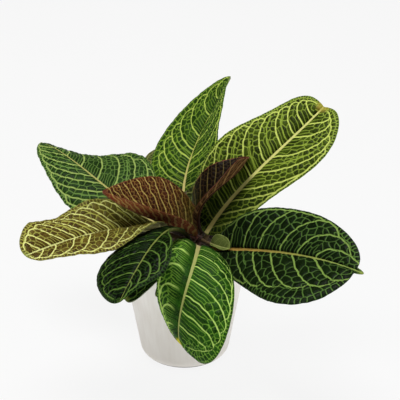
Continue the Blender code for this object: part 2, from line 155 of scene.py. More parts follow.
def matte_slip():
    """Matte off-white slip on earthenware: no mirror, faint upright streaks where it ran, and a
    fine tooth that softens the highlight along the wall"""
    material, tree, shader = new_material("matte_slip")
    place = add_node(tree, "ShaderNodeTexCoord").outputs["Object"]
    # A scale is how often a pattern repeats in a metre. Streaks are 4 mm wide and 110 mm tall
    upright = add_node(tree, "ShaderNodeMapping", {"Vector": place, "Scale": (250.0, 250.0, 9.0)})
    streak = add_node(tree, "ShaderNodeTexNoise",
                      {"Vector": upright.outputs["Vector"], "Scale": 1.0, "Detail": 3.0})
    # Clouds about 40 mm across where the slip is thicker
    cloud = add_node(tree, "ShaderNodeTexNoise", {"Vector": place, "Scale": 25.0, "Detail": 2.0})
    both = add_node(tree, "ShaderNodeMath",
                    {0: streak.outputs["Fac"], 1: cloud.outputs["Fac"]}, operation="ADD")
    shade = add_node(tree, "ShaderNodeMapRange",
                     {"Value": both.outputs[0], "From Min": 0.75, "From Max": 1.25})
    colour = add_node(tree, "ShaderNodeMix",
                      {"Factor": shade.outputs["Result"], "A": "#e9e4dc", "B": "#f4f1eb"},
                      data_type="RGBA")
    # Painted shade: the colour darkens over the lowest 70 mm toward the foot
    level = add_node(tree, "ShaderNodeSeparateXYZ", {"Vector": place})
    foot_shade_share = add_node(tree, "ShaderNodeMapRange",
                    {"Value": level.outputs["Z"], "From Min": 0.07, "From Max": 0.0, "To Max": 0.6})
    foot_shaded = add_node(tree, "ShaderNodeMix",
                      {"Factor": foot_shade_share.outputs["Result"], "A": colour.outputs["Result"],
                       "B": "#c6c0b6"}, data_type="RGBA")
    # Painted shade inside the pot: the wall above the soil is drawn dark brown, on everything
    # nearer the axis than the middle of the wall
    across = add_node(tree, "ShaderNodeVectorMath",
                      {0: place, 1: (1.0, 1.0, 0.0)}, operation="MULTIPLY")
    radius = add_node(tree, "ShaderNodeVectorMath",
                      {0: across.outputs["Vector"]}, operation="LENGTH")
    wall = add_node(tree, "ShaderNodeMath",
                    {0: level.outputs["Z"], 1: -math.tan(POT_SLOPE),
                     2: (POT_WALL / 2 - POT_FOOT_RADIUS) * MM}, operation="MULTIPLY_ADD")
    depth = add_node(tree, "ShaderNodeMath",
                     {0: radius.outputs["Value"], 1: wall.outputs[0]}, operation="ADD")
    inner = add_node(tree, "ShaderNodeMapRange",
                     {"Value": depth.outputs[0], "From Min": 0.0005, "From Max": -0.0005})
    inner_wall_shade = add_node(tree, "ShaderNodeMix",
                       {"Factor": inner.outputs["Result"], "A": foot_shaded.outputs["Result"],
                        "B": "#2e231b"}, data_type="RGBA")
    # Tooth of the clay body, about 0.4 mm, drawn a little coarser than the real one
    tooth = add_node(tree, "ShaderNodeTexNoise", {"Vector": place, "Scale": 1800.0, "Detail": 2.0})
    bump = add_node(tree, "ShaderNodeBump",
                    {"Height": tooth.outputs["Fac"], "Strength": 0.12, "Distance": 0.0003})
    rough = add_node(tree, "ShaderNodeMapRange",
                     {"Value": cloud.outputs["Fac"], "To Min": 0.5, "To Max": 0.62})
    set_inputs(tree, shader, {"Base Color": inner_wall_shade.outputs["Result"], "IOR": 1.5,
                              "Roughness": rough.outputs["Result"],
                              "Normal": bump.outputs["Normal"]})
    return material


profile = pot_profile()
angles = np.linspace(0.0, 2.0 * np.pi, POT_SIDES, endpoint=False)
rings = [(r * math.cos(a), r * math.sin(a), z) for r, z in profile for a in angles]
caps = [(0.0, 0.0, 0.0), (0.0, 0.0, POT_FLOOR)]
pot = add_piece("turned_pot", rings + caps,
                turned_faces(len(profile), POT_SIDES, len(rings), len(rings) + 1), [matte_slip()])
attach(pot, "root")
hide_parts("pot")


# Soil: a damp mix of peat and bark that fills the pot to 12 mm under the rim. Its top is
# lumpy, as it was pressed in by hand, and loose crumbs of bark and peat lie on it.
SOIL_TOP = 93.0
SOIL_GAP = 0.3                # clear of the pot's wall and floor
SOIL_LUMP = 1.2
SOIL_FINE_LUMP = 0.35
SOIL_EDGE_DROP = 1.5          # the top rounds down to the wall
SOIL_SIDES = 150
SOIL_TOP_RINGS = 60
CRUMBS = 620
CRUMB_SIZE = (0.7, 2.4)
CRUMB_SEED = 41


def soil_height(x, y):
    """The same lumps as the CAD soil, with finer ones on them"""
    rough = np.sin(0.31 * x + 0.8) * np.cos(0.27 * y - 0.4) + 0.6 * np.sin(0.55 * x - 0.49 * y)
    fine = np.sin(1.9 * x + 1.3 * y) * np.sin(1.5 * y - 0.8 * x + 2.0)
    return SOIL_TOP + SOIL_LUMP * rough + SOIL_FINE_LUMP * fine


def peat_and_bark():
    """Damp peat with bark: nearly black, dull, with browner crumbs and a coarse broken surface"""
    material, tree, shader = new_material("peat_and_bark")
    place = add_node(tree, "ShaderNodeTexCoord").outputs["Object"]
    # Crumbs about 3 mm across, each with its own brown, and grain of about 1 mm
    crumb = add_node(tree, "ShaderNodeTexVoronoi", {"Vector": place, "Scale": 330.0})
    tone = add_node(tree, "ShaderNodeSeparateColor", {"Color": crumb.outputs["Color"]})
    colour = add_node(tree, "ShaderNodeMix",
                      {"Factor": tone.outputs["Red"], "A": "#1d1510", "B": "#46352a"},
                      data_type="RGBA")
    grain = add_node(tree, "ShaderNodeTexNoise", {"Vector": place, "Scale": 900.0, "Detail": 6.0})
    bump = add_node(tree, "ShaderNodeBump",
                    {"Height": grain.outputs["Fac"], "Strength": 0.8, "Distance": 0.001})
    set_inputs(tree, shader, {"Base Color": colour.outputs["Result"], "Roughness": 0.95,
                              "Normal": bump.outputs["Normal"]})
    return material


def soil_plug(edge):
    """The plug of soil up to its lumpy top: its points and its faces, closed by two end points"""
    inner_round = POT_FOOT_ROUND - POT_WALL
    low = POT_FLOOR + SOIL_GAP
    profile = [(POT_TURN * 0.5, low)]
    profile += arc((POT_TURN, POT_FLOOR + inner_round), inner_round - SOIL_GAP,
                   -90, -math.degrees(POT_SLOPE), 6)
    profile += [(wall_radius(z) - POT_WALL - SOIL_GAP, z) for z in (30.0, 50.0, 70.0, 86.0)]
    around = np.linspace(0.0, 2.0 * np.pi, SOIL_SIDES, endpoint=False)
    points = [(r * math.cos(a), r * math.sin(a), z) for r, z in profile for a in around]
    shares = np.concatenate([[1.0, 0.985], np.linspace(0.96, 0.04, SOIL_TOP_RINGS)])
    for share in shares:
        x, y = edge * share * np.cos(around), edge * share * np.sin(around)
        z = soil_height(x, y) if share < 1.0 else np.full(SOIL_SIDES, SOIL_TOP - SOIL_EDGE_DROP)
        points += list(zip(x, y, z))
    count = len(points)
    points += [(0.0, 0.0, low), (0.0, 0.0, float(soil_height(0.0, 0.0)))]
    return points, turned_faces(len(profile) + len(shares), SOIL_SIDES, count, count + 1)


def make_soil():
    """The plug of soil with its loose crumbs. A crumb is a chip of bark, a lump with eight
    corners that is pressed flat and turned at random"""
    edge = wall_radius(SOIL_TOP) - POT_WALL - SOIL_GAP
    points, faces = soil_plug(edge)
    draw = np.random.default_rng(CRUMB_SEED)
    corners = np.array([(x, y, z) for x in (-1, 1) for y in (-1, 1) for z in (-1, 1)], float)
    sides = [(0, 1, 3, 2), (4, 6, 7, 5), (0, 4, 5, 1), (2, 3, 7, 6), (0, 2, 6, 4), (1, 5, 7, 3)]
    for _ in range(CRUMBS):
        radius = edge * 0.97 * math.sqrt(draw.random())
        turn = draw.uniform(0.0, 2.0 * np.pi)
        size = draw.uniform(*CRUMB_SIZE)
        lump = corners * (1.0, draw.uniform(0.5, 0.9), draw.uniform(0.3, 0.6)) * size * 0.6
        lump = lump * draw.uniform(0.75, 1.15, (8, 1))
        spin = draw.uniform(0.0, 2.0 * np.pi)
        tilt = draw.uniform(-0.5, 0.5)
        x = lump[:, 0] * math.cos(spin) - lump[:, 1] * math.sin(spin)
        y = lump[:, 0] * math.sin(spin) + lump[:, 1] * math.cos(spin)
        z = lump[:, 2] + x * math.sin(tilt)
        px, py = radius * math.cos(turn), radius * math.sin(turn)
        first = len(points)
        points += list(zip(x + px, y + py, z + soil_height(px, py) + size * 0.15))
        faces += [tuple(first + k for k in side) for side in sides]
    return add_piece("potting_soil", points, faces, [peat_and_bark()])


soil = make_soil()
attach(soil, "root")
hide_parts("soil")


# Stem: one short woody stem, dark red brown, knobbly where old leaves were shed.
# It stands in the soil, leans a little to the right, and carries every leaf near its top.
STEM_X = 8.5                  # where it stands in the soil
STEM_LEAN = 5.0               # how far its top leans to the right
STEM_LEAN_FROM = 93.0
STEM_LEAN_OVER = 22.0
STEM_FOOT = 58.3
STEM_TOP = 117.6
STEM_RINGS = [                # height, radius: swollen at old leaf scars, thin at the crown
    (STEM_FOOT, 3.6), (62.0, 4.7), (76.0, 4.8), (90.0, 4.8), (93.0, 4.4), (94.6, 4.6),
    (96.4, 4.1), (99.0, 3.9), (101.0, 3.5), (104.0, 3.2), (108.0, 3.1), (111.0, 2.9),
    (114.0, 2.8), (116.4, 2.5), (STEM_TOP, 1.9),
]
STEM_SIDES = 48
STEM_STEPS = 90
SCAR_STEP = 3.1               # height between two old leaf scars
SCAR_TURN = 2.4               # turn from one scar to the next, in radians
SCAR_LIFT = 0.35
SCAR_HEIGHT = 0.7
SCAR_SPREAD = 0.6             # how far round a scar reaches to each side, in radians


def stem_centre(z):
    """Where the stem's middle is at a height, to the right of the pot's axis"""
    return STEM_X + STEM_LEAN * np.clip((z - STEM_LEAN_FROM) / STEM_LEAN_OVER, 0.0, 1.0)


def woody_bark():
    """Thin young bark: dark red brown, cracked along the stem, greyer on the ridges"""
    material, tree, shader = new_material("woody_bark")
    place = add_node(tree, "ShaderNodeTexCoord").outputs["Object"]
    # Cracks about 0.7 mm apart and 3 mm long
    along = add_node(tree, "ShaderNodeMapping", {"Vector": place, "Scale": (1400.0, 1400.0, 350.0)})
    crack = add_node(tree, "ShaderNodeTexNoise",
                     {"Vector": along.outputs["Vector"], "Scale": 1.0, "Detail": 5.0})
    shade = add_node(tree, "ShaderNodeMapRange",
                     {"Value": crack.outputs["Fac"], "From Min": 0.35, "From Max": 0.65})
    colour = add_node(tree, "ShaderNodeMix",
                      {"Factor": shade.outputs["Result"], "A": "#241312", "B": "#5c3a2e"},
                      data_type="RGBA")
    bump = add_node(tree, "ShaderNodeBump",
                    {"Height": crack.outputs["Fac"], "Strength": 0.6, "Distance": 0.0004})
    set_inputs(tree, shader, {"Base Color": colour.outputs["Result"], "Roughness": 0.75,
                              "Normal": bump.outputs["Normal"]})
    return material


def make_stem():
    """The stem as one closed tube, its round a little uneven and swollen at each scar"""
    heights = np.linspace(STEM_FOOT, STEM_TOP, STEM_STEPS)
    radii = np.interp(heights, [r[0] for r in STEM_RINGS], [r[1] for r in STEM_RINGS])
    around = np.linspace(0.0, 2.0 * np.pi, STEM_SIDES, endpoint=False)
    points = []
    for z, radius in zip(heights, radii):
        ridge = 1.0 + 0.03 * np.sin(3.0 * around + z * 0.7) + 0.015 * np.sin(7.0 * around - z)
        which = np.round((z - SOIL_TOP) / SCAR_STEP)
        turn = (around - which * SCAR_TURN + np.pi) % (2.0 * np.pi) - np.pi
        lift = np.exp(-((z - SOIL_TOP - which * SCAR_STEP) / SCAR_HEIGHT) ** 2
                      - (turn / SCAR_SPREAD) ** 2)
        r = radius * ridge + SCAR_LIFT * lift
        points += list(zip(stem_centre(z) + r * np.cos(around), r * np.sin(around),
                           np.full(STEM_SIDES, z)))
    count = len(points)
    points += [(stem_centre(STEM_FOOT), 0.0, STEM_FOOT),
               (stem_centre(STEM_TOP), 0.0, STEM_TOP + 0.1)]
    return add_piece("woody_stem", points, turned_faces(STEM_STEPS, STEM_SIDES, count, count + 1),
                     [woody_bark()])


stem = make_stem()
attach(stem, "root")
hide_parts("stem")


# Upper left leaf: blue-green, its far half twisted away toward the tip, its margin wavy.
# A leaf is one leathery blade with a thick midrib, side veins that arch into each other near
# the margin, and a raised net between them. What all the leaves share is worked out here.
WAVE_COUNT = 1.4              # margin waves from the foot of a blade to its tip
POINT_SPACE = 0.63            # space between the points of a blade
BLADE_THICK = (0.55, 0.24)    # at the midrib, at the margin
FOOT_SHARE = 0.0005           # where along the midrib the blade starts and ends
TIP_SHARE = 0.9999
RIB_TIP_DEPTH = 1.2           # how deep the keel under the midrib still is at the tip
RIB_RISE = 0.4                # how far the midrib's band stands above the skin
PLEAT = 1.2                   # how far the skin swells between two side veins
QUILT = 0.8                   # how far it swells inside one cell of the net
VEIN_STEPS = 30               # points along a side vein
SIDE_VEIN_HALF = (0.72, 0.52)  # half width of a side vein at the midrib and at its far end
NET_HALF = 0.46               # half width of a line of the net, and of one beside the midrib
STRIP_HALF = 0.40
WEAK_HALF = 0.55              # the same of a weaker vein between two side veins
VEIN_PROUD = 0.3              # how far the side veins stand out beneath the blade
STALK_SIDES = 20
KEEL_STEPS = 90
FAR = 9.0                     # a distance too far from a vein for it to show

# A leaf's form, in mm and degrees. For the leaf as a whole:
#   root, stalk, blade     where it leaves the stem, and the lengths of its midrib
#   bearing, rise, roll    way that the midrib runs, how steeply, and how far the blade leans,
#                          each at the root and how it changes along the leaf
#   crest, tip_power       how near the tip the widest place is, and how pointed the tip is
#   ruffle                 height and length of the short waves of the margin
#   drip                   length of the drip tip as a share of the blade, and its half width
#   strip_share, band      strength of the lines beside the midrib, its half width at both ends
#   kink, between          how far veins wander, chance of a weaker vein between two
#   puff, space            how far cells swell, space between points
# and for each of its halves, the left one first, seen from the foot:
#   width, base_power      half width, and how pointed the foot is
#   skew, sweep            shift of the widest place, slant of the margin toward the tip
#   wave, wave_at          height and place of the long waves of the margin
#   fold, unfold, cup      how far it rises from the midrib, the change to the tip, its bend
#   starts                 places along the midrib where side veins leave it
#   run                    angle and arch of a side vein, each at the foot and at the tip, where
#                          on the next one it lands (0 is at the margin), how late it bends
#   net                    length and width of the cells beside the midrib, a cell, an outer one
#   quiet, line            share of it without clear veins, width of the lines
LEAF = dict(drip=(0, 0), strip_share=0.7, quiet=(0.0, 0.0), kink=0.3, between=0.5,
            space=POINT_SPACE)


def midline(form, along):
    """Midrib curve: points and the axes to the left of it and up from it"""
    whole = form["stalk"] + form["blade"]
    steps = np.linspace(0.0, max(float(along.max()), whole) * 1.0001, 121)
    u = steps / whole
    bearing = np.radians(form["bearing"][0] + form["bearing"][1] * u + form["bearing"][2] * u * u)
    rise = np.radians(form["rise"][0] + form["rise"][1] * u + form["rise"][2] * u * u)
    roll = np.radians(form["roll"][0] + form["roll"][1] * u)
    ahead = np.stack([np.cos(rise) * np.cos(bearing), np.cos(rise) * np.sin(bearing),
                      np.sin(rise)], -1)
    moves = (ahead[1:] + ahead[:-1]) / 2 * np.diff(steps)[:, None]
    points = np.vstack([[0.0, 0.0, 0.0], np.cumsum(moves, 0)]) + np.array(form["root"])
    up = np.stack([-np.sin(rise) * np.cos(bearing), -np.sin(rise) * np.sin(bearing),
                   np.cos(rise)], -1)
    side = np.cross(up, ahead)
    left = side * np.cos(roll)[:, None] + up * np.sin(roll)[:, None]
    top = up * np.cos(roll)[:, None] - side * np.sin(roll)[:, None]
    return [np.stack([np.interp(along, steps, values[:, i]) for i in range(3)], -1)
            for values in (points, left, top)]


def half_width(form, s, half):
    """Half width of the blade where a side vein starts, s = 0 at the foot and 1 at the tip"""
    drip, drip_width = form["drip"]
    q = np.clip(s / (1.0 - drip), 0.0, 1.0)
    foot_power = form["base_power"][half]
    power = foot_power + (form["tip_power"] - foot_power) * q
    bow = np.maximum(np.sin(np.pi * q ** form["crest"]), 0.0) ** power
    width = form["width"][half] * bow * (1.0 + form["skew"][half] * np.sin(2 * np.pi * q))
    if drip > 0:
        ease = np.clip((s - 1.0 + 2.0 * drip) / drip, 0.0, 1.0)
        ease = ease * ease * (3.0 - 2.0 * ease) * np.clip((1.0 - s) / drip, 0.0, 1.0)
        width = np.sqrt(width * width + drip_width * drip_width * ease)
    return width


def flattened(form, s, t, half):
    """Where a point of the skin lies on the flattened blade: mm along and across the midrib"""
    width = half_width(form, s, half)
    return form["blade"] * s + form["sweep"][half] * width * t ** 1.4, width * t


def skin(form, s, t, half):
    """Top skin of one half: s picks the slanting column, t runs along it from midrib to margin"""
    shape = s.shape
    s = s.ravel()
    t = t.ravel()
    width = half_width(form, s, half)
    along = form["stalk"] + form["blade"] * s + form["sweep"][half] * width * t ** 1.4
    across = width * t
    points, left, top = midline(form, along)
    part_way = (along - form["stalk"]) / form["blade"]
    fold = np.radians(form["fold"][half] + form["unfold"][half] * part_way)
    bend = math.radians(form["cup"][half]) / np.maximum(width, 1e-6)
    out = (np.sin(fold + bend * across) - np.sin(fold)) / bend
    lift = -(np.cos(fold + bend * across) - np.cos(fold)) / bend
    wave = np.sin(2 * np.pi * (WAVE_COUNT * s + form["wave_at"][half]))
    lift = lift + form["wave"][half] * wave * (across / form["width"][half]) ** 2 * 1.3
    height, length = form["ruffle"]
    ruffle = np.sin(2 * np.pi * along / length) + 0.6 * np.sin(4.7 * np.pi * along / length)
    lift = lift + height * ruffle * t ** 4 * np.minimum(1.0, width / 12.0)
    sign = 1.0 if half == 0 else -1.0
    result = points + sign * left * out[:, None] + top * lift[:, None]
    return result.reshape(shape + (3,))


def margin_curve(form, half):
    """Margin of one half on the flattened blade"""
    return np.stack(flattened(form, np.linspace(0.0, 1.0, 700), 1.0, half), -1)


def side_veins(form, half):
    """Side veins on the flattened blade, from foot to tip. Each leaves the midrib, bends toward
    the tip and arches over to land on the next one, or runs out to the margin"""
    margin = margin_curve(form, half)
    reach = np.maximum.accumulate(margin[:, 0])
    leave, arch, land, late = form["run"][half]
    last = form["blade"] * 0.985
    u = np.linspace(0.0, 1.0, VEIN_STEPS)[:, None]

    def room(x):
        return np.interp(x, reach, margin[:, 1])

    curves = []
    for start in reversed(form["starts"][half]):
        share = start / form["blade"]
        slope = 1.0 / math.tan(math.radians(leave[0] + (leave[1] - leave[0]) * share))
        peak = arch[0] + (arch[1] - arch[0]) * share
        if land == 0.0:
            out = start + late * room(start + 5.0)
            landing = np.array([min(out, last), 0.98 * room(out)])
        elif curves:
            landing = curves[-1][int(land * (VEIN_STEPS - 1))]
        else:
            landing = np.array([last, 0.3 * room(form["blade"] * 0.97)])
        # A curve of four guide points: the second sets how it leaves, the third how it arches
        span = landing[0] - start
        if land == 0.0:
            rise = 0.35 * landing[1]
            third = np.array([start + 0.66 * span, 0.7 * landing[1]])
        else:
            rise = 0.7 * peak * room(start + 0.3 * span)
            third = np.array([start + late * span, 1.18 * peak * room(start + late * span)])
            if slope > 0.05:
                rise = min(rise, 0.75 * late * span / slope)
        curve = ((1 - u) ** 3 * (start, 0.0) + 3 * (1 - u) ** 2 * u * (start + rise * slope, rise)
                 + 3 * (1 - u) * u ** 2 * third + u ** 3 * landing)
        # It keeps a little way in from the margin
        curve[:, 1] = np.minimum(curve[:, 1], (0.94 if land else 0.99) * room(curve[:, 0]))
        curves.append(curve)
    return curves[::-1]


def distance_to(places, curve):
    """Distance from each place to a curve of straight runs, and how far along the curve it is"""
    a, b = curve[:-1], curve[1:]
    run = b - a
    length = np.maximum((run * run).sum(-1), 1e-9)
    best = np.full(len(places), 1e9)
    where = np.zeros(len(places))
    for i in range(len(run)):
        step = places - a[i]
        share = np.clip((step @ run[i]) / length[i], 0.0, 1.0)
        gap = step - share[:, None] * run[i]
        d = (gap * gap).sum(-1)
        closer = d < best
        best[closer] = d[closer]
        where[closer] = (i + share[closer]) / len(run)
    return np.sqrt(best), where


def inside(places, outline):
    """Which places lie inside a closed outline"""
    x, y = places[:, 0], places[:, 1]
    result = np.zeros(len(places), bool)
    for (x0, y0), (x1, y1) in zip(outline, np.roll(outline, -1, 0)):
        if y0 != y1:
            crosses = (y0 > y) != (y1 > y)
            result ^= crosses & (x < (x1 - x0) * (y - y0) / (y1 - y0) + x0)
    return result


def cell_fields(places, seeds):
    """Distance in mm to the border of the net cell that a place lies in, and which cell it is.
    A seed is x, y, direction x and y, half length and half width of its cell"""
    nearest = np.full(len(places), 1e9)
    second = np.full(len(places), 1e9)
    slope_near = np.zeros((len(places), 2))
    slope_next = np.zeros((len(places), 2))
    which = np.zeros(len(places), int)
    for i, (x, y, dx, dy, long_half, wide_half) in enumerate(seeds):
        if wide_half == 0.0:
            continue          # squeezed to nothing where two veins meet, so it holds no place
        ex, ey = places[:, 0] - x, places[:, 1] - y
        along = (ex * dx + ey * dy) / long_half
        across = (ey * dx - ex * dy) / wide_half
        d = np.sqrt(along * along + across * across) + 1e-6
        slope = np.stack([(along * dx / long_half - across * dy / wide_half) / d,
                          (along * dy / long_half + across * dx / wide_half) / d], -1)
        first = d < nearest
        next_best = (~first) & (d < second)
        second[first] = nearest[first]
        slope_next[first] = slope_near[first]
        nearest[first] = d[first]
        slope_near[first] = slope[first]
        which[first] = i
        second[next_best] = d[next_best]
        slope_next[next_best] = slope[next_best]
    steep = np.linalg.norm(slope_next - slope_near, axis=-1)
    return np.minimum((second - nearest) / np.maximum(steep, 1e-3), FAR), which


def between_seeds(one, other, form, half, draw):
    """Seeds of the cells between two side veins: long strips beside the midrib, then polygons"""
    strip_long, strip_wide, cell, _ = form["net"][half]
    length = float(np.linalg.norm(np.diff(one, axis=0), axis=1).sum())
    seeds = []
    travelled = 0.0
    row = 0
    while travelled < length - 1.0:
        by_rib = row == 0
        long_cell = min(strip_long, 0.8 * length) if by_rib else cell * (1.6 if row == 1 else 1.35)
        place = min((travelled + long_cell / 2) / length, 1.0) * (len(one) - 1)
        i = min(int(place), len(one) - 2)
        a = one[i] + (one[i + 1] - one[i]) * (place - i)
        b = other[i] + (other[i + 1] - other[i]) * (place - i)
        ahead = (one[i + 1] - one[i]) + (other[i + 1] - other[i])
        ahead = ahead / max(np.linalg.norm(ahead), 1e-6)
        gap = b - a
        width = abs(gap[0] * ahead[1] - gap[1] * ahead[0])
        count = max(1, int(round(width / (strip_wide if by_rib else cell))))
        for k in range(count):
            f = (k + 0.5 + draw.uniform(-0.26, 0.26)) / count
            own = draw.uniform(0.6, 1.3) if by_rib else draw.uniform(0.85, 1.15)
            shift = (own - 1.0) / 2 if by_rib else draw.uniform(-0.22, 0.22)
            x, y = a + gap * f + ahead * shift * long_cell
            seeds.append((x, y, ahead[0], ahead[1], own * long_cell / 2, width / count / 2))
        travelled += long_cell
        row += 1
    return seeds


def outer_seeds(form, half, draw):
    """Seeds of the cells outside the arches: rows that follow the margin, small ones first"""
    margin = margin_curve(form, half)
    steps = np.concatenate([[0.0], np.cumsum(np.linalg.norm(np.diff(margin, axis=0), axis=1))])
    outer = form["net"][half][3]

    def on_margin(place):
        return np.array([np.interp(place, steps, margin[:, i]) for i in (0, 1)])

    seeds = []
    depth = 0.0
    size = 0.55 * outer
    while depth < form["width"][half]:
        count = max(3, int(steps[-1] / size))
        for k in range(count):
            place = steps[-1] * (k + 0.5 + draw.uniform(-0.2, 0.2)) / count
            ahead = on_margin(place + 1.0) - on_margin(place - 1.0)
            ahead = ahead / max(np.linalg.norm(ahead), 1e-6)
            inward = np.array([ahead[1], -ahead[0]])
            x, y = on_margin(place) + inward * (depth + size / 2 + draw.uniform(-0.15, 0.15) * size)
            if y > 0.0:
                seeds.append((x, y, ahead[0], ahead[1], size / 2, size / 2))
        depth += size
        size = outer
    return seeds


def vein_fields(form, half, x, y, draw):
    """What one half shows at each place of the flattened blade, as arrays like x: distance to
    side veins, net and margin, the same in line widths, the cell, and how clear lines are"""
    places = np.stack([x.ravel(), y.ravel()], -1)
    # Veins kink a little where they meet, so the places are shifted by a fraction of a millimetre
    bend = np.stack([np.sin(places[:, 1] / 1.9 + 1.5 * np.sin(places[:, 0] / 4.9)),
                     np.sin(places[:, 0] / 1.7 + 1.5 * np.sin(places[:, 1] / 4.3))], -1)
    places = places + form["kink"] * bend
    line = form["line"][half]
    curves = side_veins(form, half)
    side = np.full(len(places), 1e9)
    side_line = np.full(len(places), 1e9)
    for curve in curves:
        d, where = distance_to(places, curve)
        thick = SIDE_VEIN_HALF[0] + (SIDE_VEIN_HALF[1] - SIDE_VEIN_HALF[0]) * where
        side = np.minimum(side, d)
        side_line = np.minimum(side_line, d / (thick * line))

    # The net: cells between each two side veins, then the outer ones on what is left
    net = np.full(len(places), FAR)
    net_line = np.full(len(places), FAR)
    cell = np.zeros(len(places))
    bold = np.zeros(len(places))
    free = np.ones(len(places), bool)
    land = form["run"][half][2] or 1.0
    for k, curve in enumerate(curves):
        if k + 1 < len(curves):
            share = np.linspace(0.0, land, len(curve)) * (len(curve) - 1)
            other = np.stack([np.interp(share, np.arange(len(curve)), curves[k + 1][:, i])
                              for i in (0, 1)], -1)
        else:
            other = np.linspace((form["blade"] * 0.9, 0.0), curve[-1], len(curve))
        here = free & inside(places, np.vstack([curve, other[::-1]]))
        seeds = between_seeds(curve, other, form, half, draw)
        if here.any() and seeds:
            border, which = cell_fields(places[here], seeds)
            long_ones = np.array([s[4] > 1.6 * s[5] for s in seeds])[which]
            net[here] = border
            net_line[here] = border / (np.where(long_ones, STRIP_HALF, NET_HALF) * line)
            bold[here] = np.where(long_ones, form["strip_share"], 0.85)
            cell[here] = draw.random(len(seeds))[which]
        free &= ~here
    seeds = outer_seeds(form, half, draw)
    border, which = cell_fields(places[free], seeds)
    net[free] = border
    net_line[free] = border / (NET_HALF * line)
    bold[free] = 1.0
    cell[free] = draw.random(len(seeds))[which]

    # A weaker vein runs part of the way between some of the side veins
    for one, other in zip(curves[:-1], curves[1:]):
        middle = (0.55 * one + 0.45 * other)[:int(draw.uniform(0.3, 0.65) * len(one))]
        if draw.random() < form["between"]:
            weak_line = distance_to(places, middle)[0] / (WEAK_HALF * line)
            net_line = np.minimum(net_line, weak_line)
            bold[weak_line < 1.5] = 1.0
    edge, _ = distance_to(places, margin_curve(form, half)[::3])
    quiet = form["quiet"][half]
    clear = np.clip((y.ravel() / form["width"][half] - 0.6 * quiet) / max(0.8 * quiet, 1e-3),
                    0.0, 1.0)
    fields = dict(side=side, side_line=side_line, net=net, net_line=net_line, cell=cell, edge=edge,
                  bold=bold * clear, clear=clear)
    return {key: value.reshape(x.shape) for key, value in fields.items()}


def unit(values):
    return values / np.maximum(np.linalg.norm(values, axis=-1, keepdims=True), 1e-9)


def blade_columns(form):
    """Columns spaced evenly along the margins and the midrib, and rows from midrib to margin"""
    s = np.linspace(FOOT_SHARE, TIP_SHARE, 3000)
    speed = 0.0
    for t, half, weight in ((1.0, 0, 0.35), (1.0, 1, 0.35), (0.0, 0, 0.3)):
        line = skin(form, s, np.full(len(s), t), half)
        speed = speed + weight * np.linalg.norm(np.diff(line, axis=0), axis=1)
    travelled = np.concatenate([[0.0], np.cumsum(speed)])
    # Even counts of steps, because the underside takes every second point
    count = int(travelled[-1] / form["space"]) // 2 * 2 + 1
    columns = np.interp(np.linspace(0.0, travelled[-1], count), travelled, s)
    rows = int(max(form["width"]) / form["space"]) // 2 * 2
    u = np.linspace(0.0, 1.0, rows + 1)
    return columns, u * (0.76 + 0.24 * u)


def lay_out(form, columns, t, draw):
    """The plain skin and what it shows: a row of points for each column, from the left margin
    over the midrib to the right one"""
    middle = len(t) - 1
    points = np.zeros((len(columns), 2 * middle + 1, 3))
    fields = {}
    s_grid, t_grid = np.meshgrid(columns, t, indexing="ij")
    for half in (0, 1):
        target = slice(None, middle + 1) if half == 0 else slice(middle, None)
        order = slice(None, None, -1) if half == 0 else slice(None)
        points[:, target] = skin(form, s_grid, t_grid, half)[:, order]
        x, y = flattened(form, s_grid, t_grid, half)
        shown = vein_fields(form, half, x, y, draw)
        shown.update(x=x, y=y if half == 0 else -y)
        for key, value in shown.items():
            fields.setdefault(key, np.zeros(points.shape[:2]))[:, target] = value[:, order]
    return points, fields


def out_of_skin(form, columns, points):
    """Direction out of the skin at each point; on the midrib it points straight up from it"""
    middle = points.shape[1] // 2
    out = unit(np.cross(np.gradient(points, axis=1), np.gradient(points, axis=0)))
    out[:, middle] = midline(form, form["stalk"] + form["blade"] * columns)[2]
    out[:, middle - 1] = unit(out[:, middle - 1] + out[:, middle])
    out[:, middle + 1] = unit(out[:, middle + 1] + out[:, middle])
    return out


def swelling(form, fields, band):
    """How far the skin stands above the plain one: it swells between veins and in each cell,
    is flat at the margin, and the midrib is a low round band"""
    off_band = np.maximum(np.abs(fields["y"]) - band, 0.0)
    relief = (PLEAT * (1.0 - np.exp(-fields["side"] / 2.0))
              + QUILT * (1.0 - np.exp(-fields["net"] / 0.8)))
    relief = relief * (0.4 + 0.6 * fields["clear"])
    relief = (relief * (1.0 - np.exp(-fields["edge"] / 2.5)) * (1.0 - np.exp(-off_band / 1.2))
              * form["puff"])
    dome = np.sqrt(np.maximum(1.0 - (fields["y"] / band) ** 2, 0.0))
    return relief + RIB_RISE * dome * np.minimum(1.0, band / 0.8)


def lowest_around(values):
    """Lowest value among each point and its neighbours"""
    wide = np.pad(values, 1, mode="edge")
    rows, columns = values.shape
    return np.min([wide[i:i + rows, j:j + columns] for i in range(3) for j in range(3)], axis=0)


def strip(upper, lower, flip):
    """Triangles that join a row of points to one with half as many"""
    triangles = []
    for i in range(len(lower) - 1):
        triangles.append((upper[2 * i], upper[2 * i + 1], lower[i]))
        triangles.append((upper[2 * i + 1], lower[i + 1], lower[i]))
        triangles.append((upper[2 * i + 1], upper[2 * i + 2], lower[i + 1]))
    return [t[::-1] for t in triangles] if flip else triangles


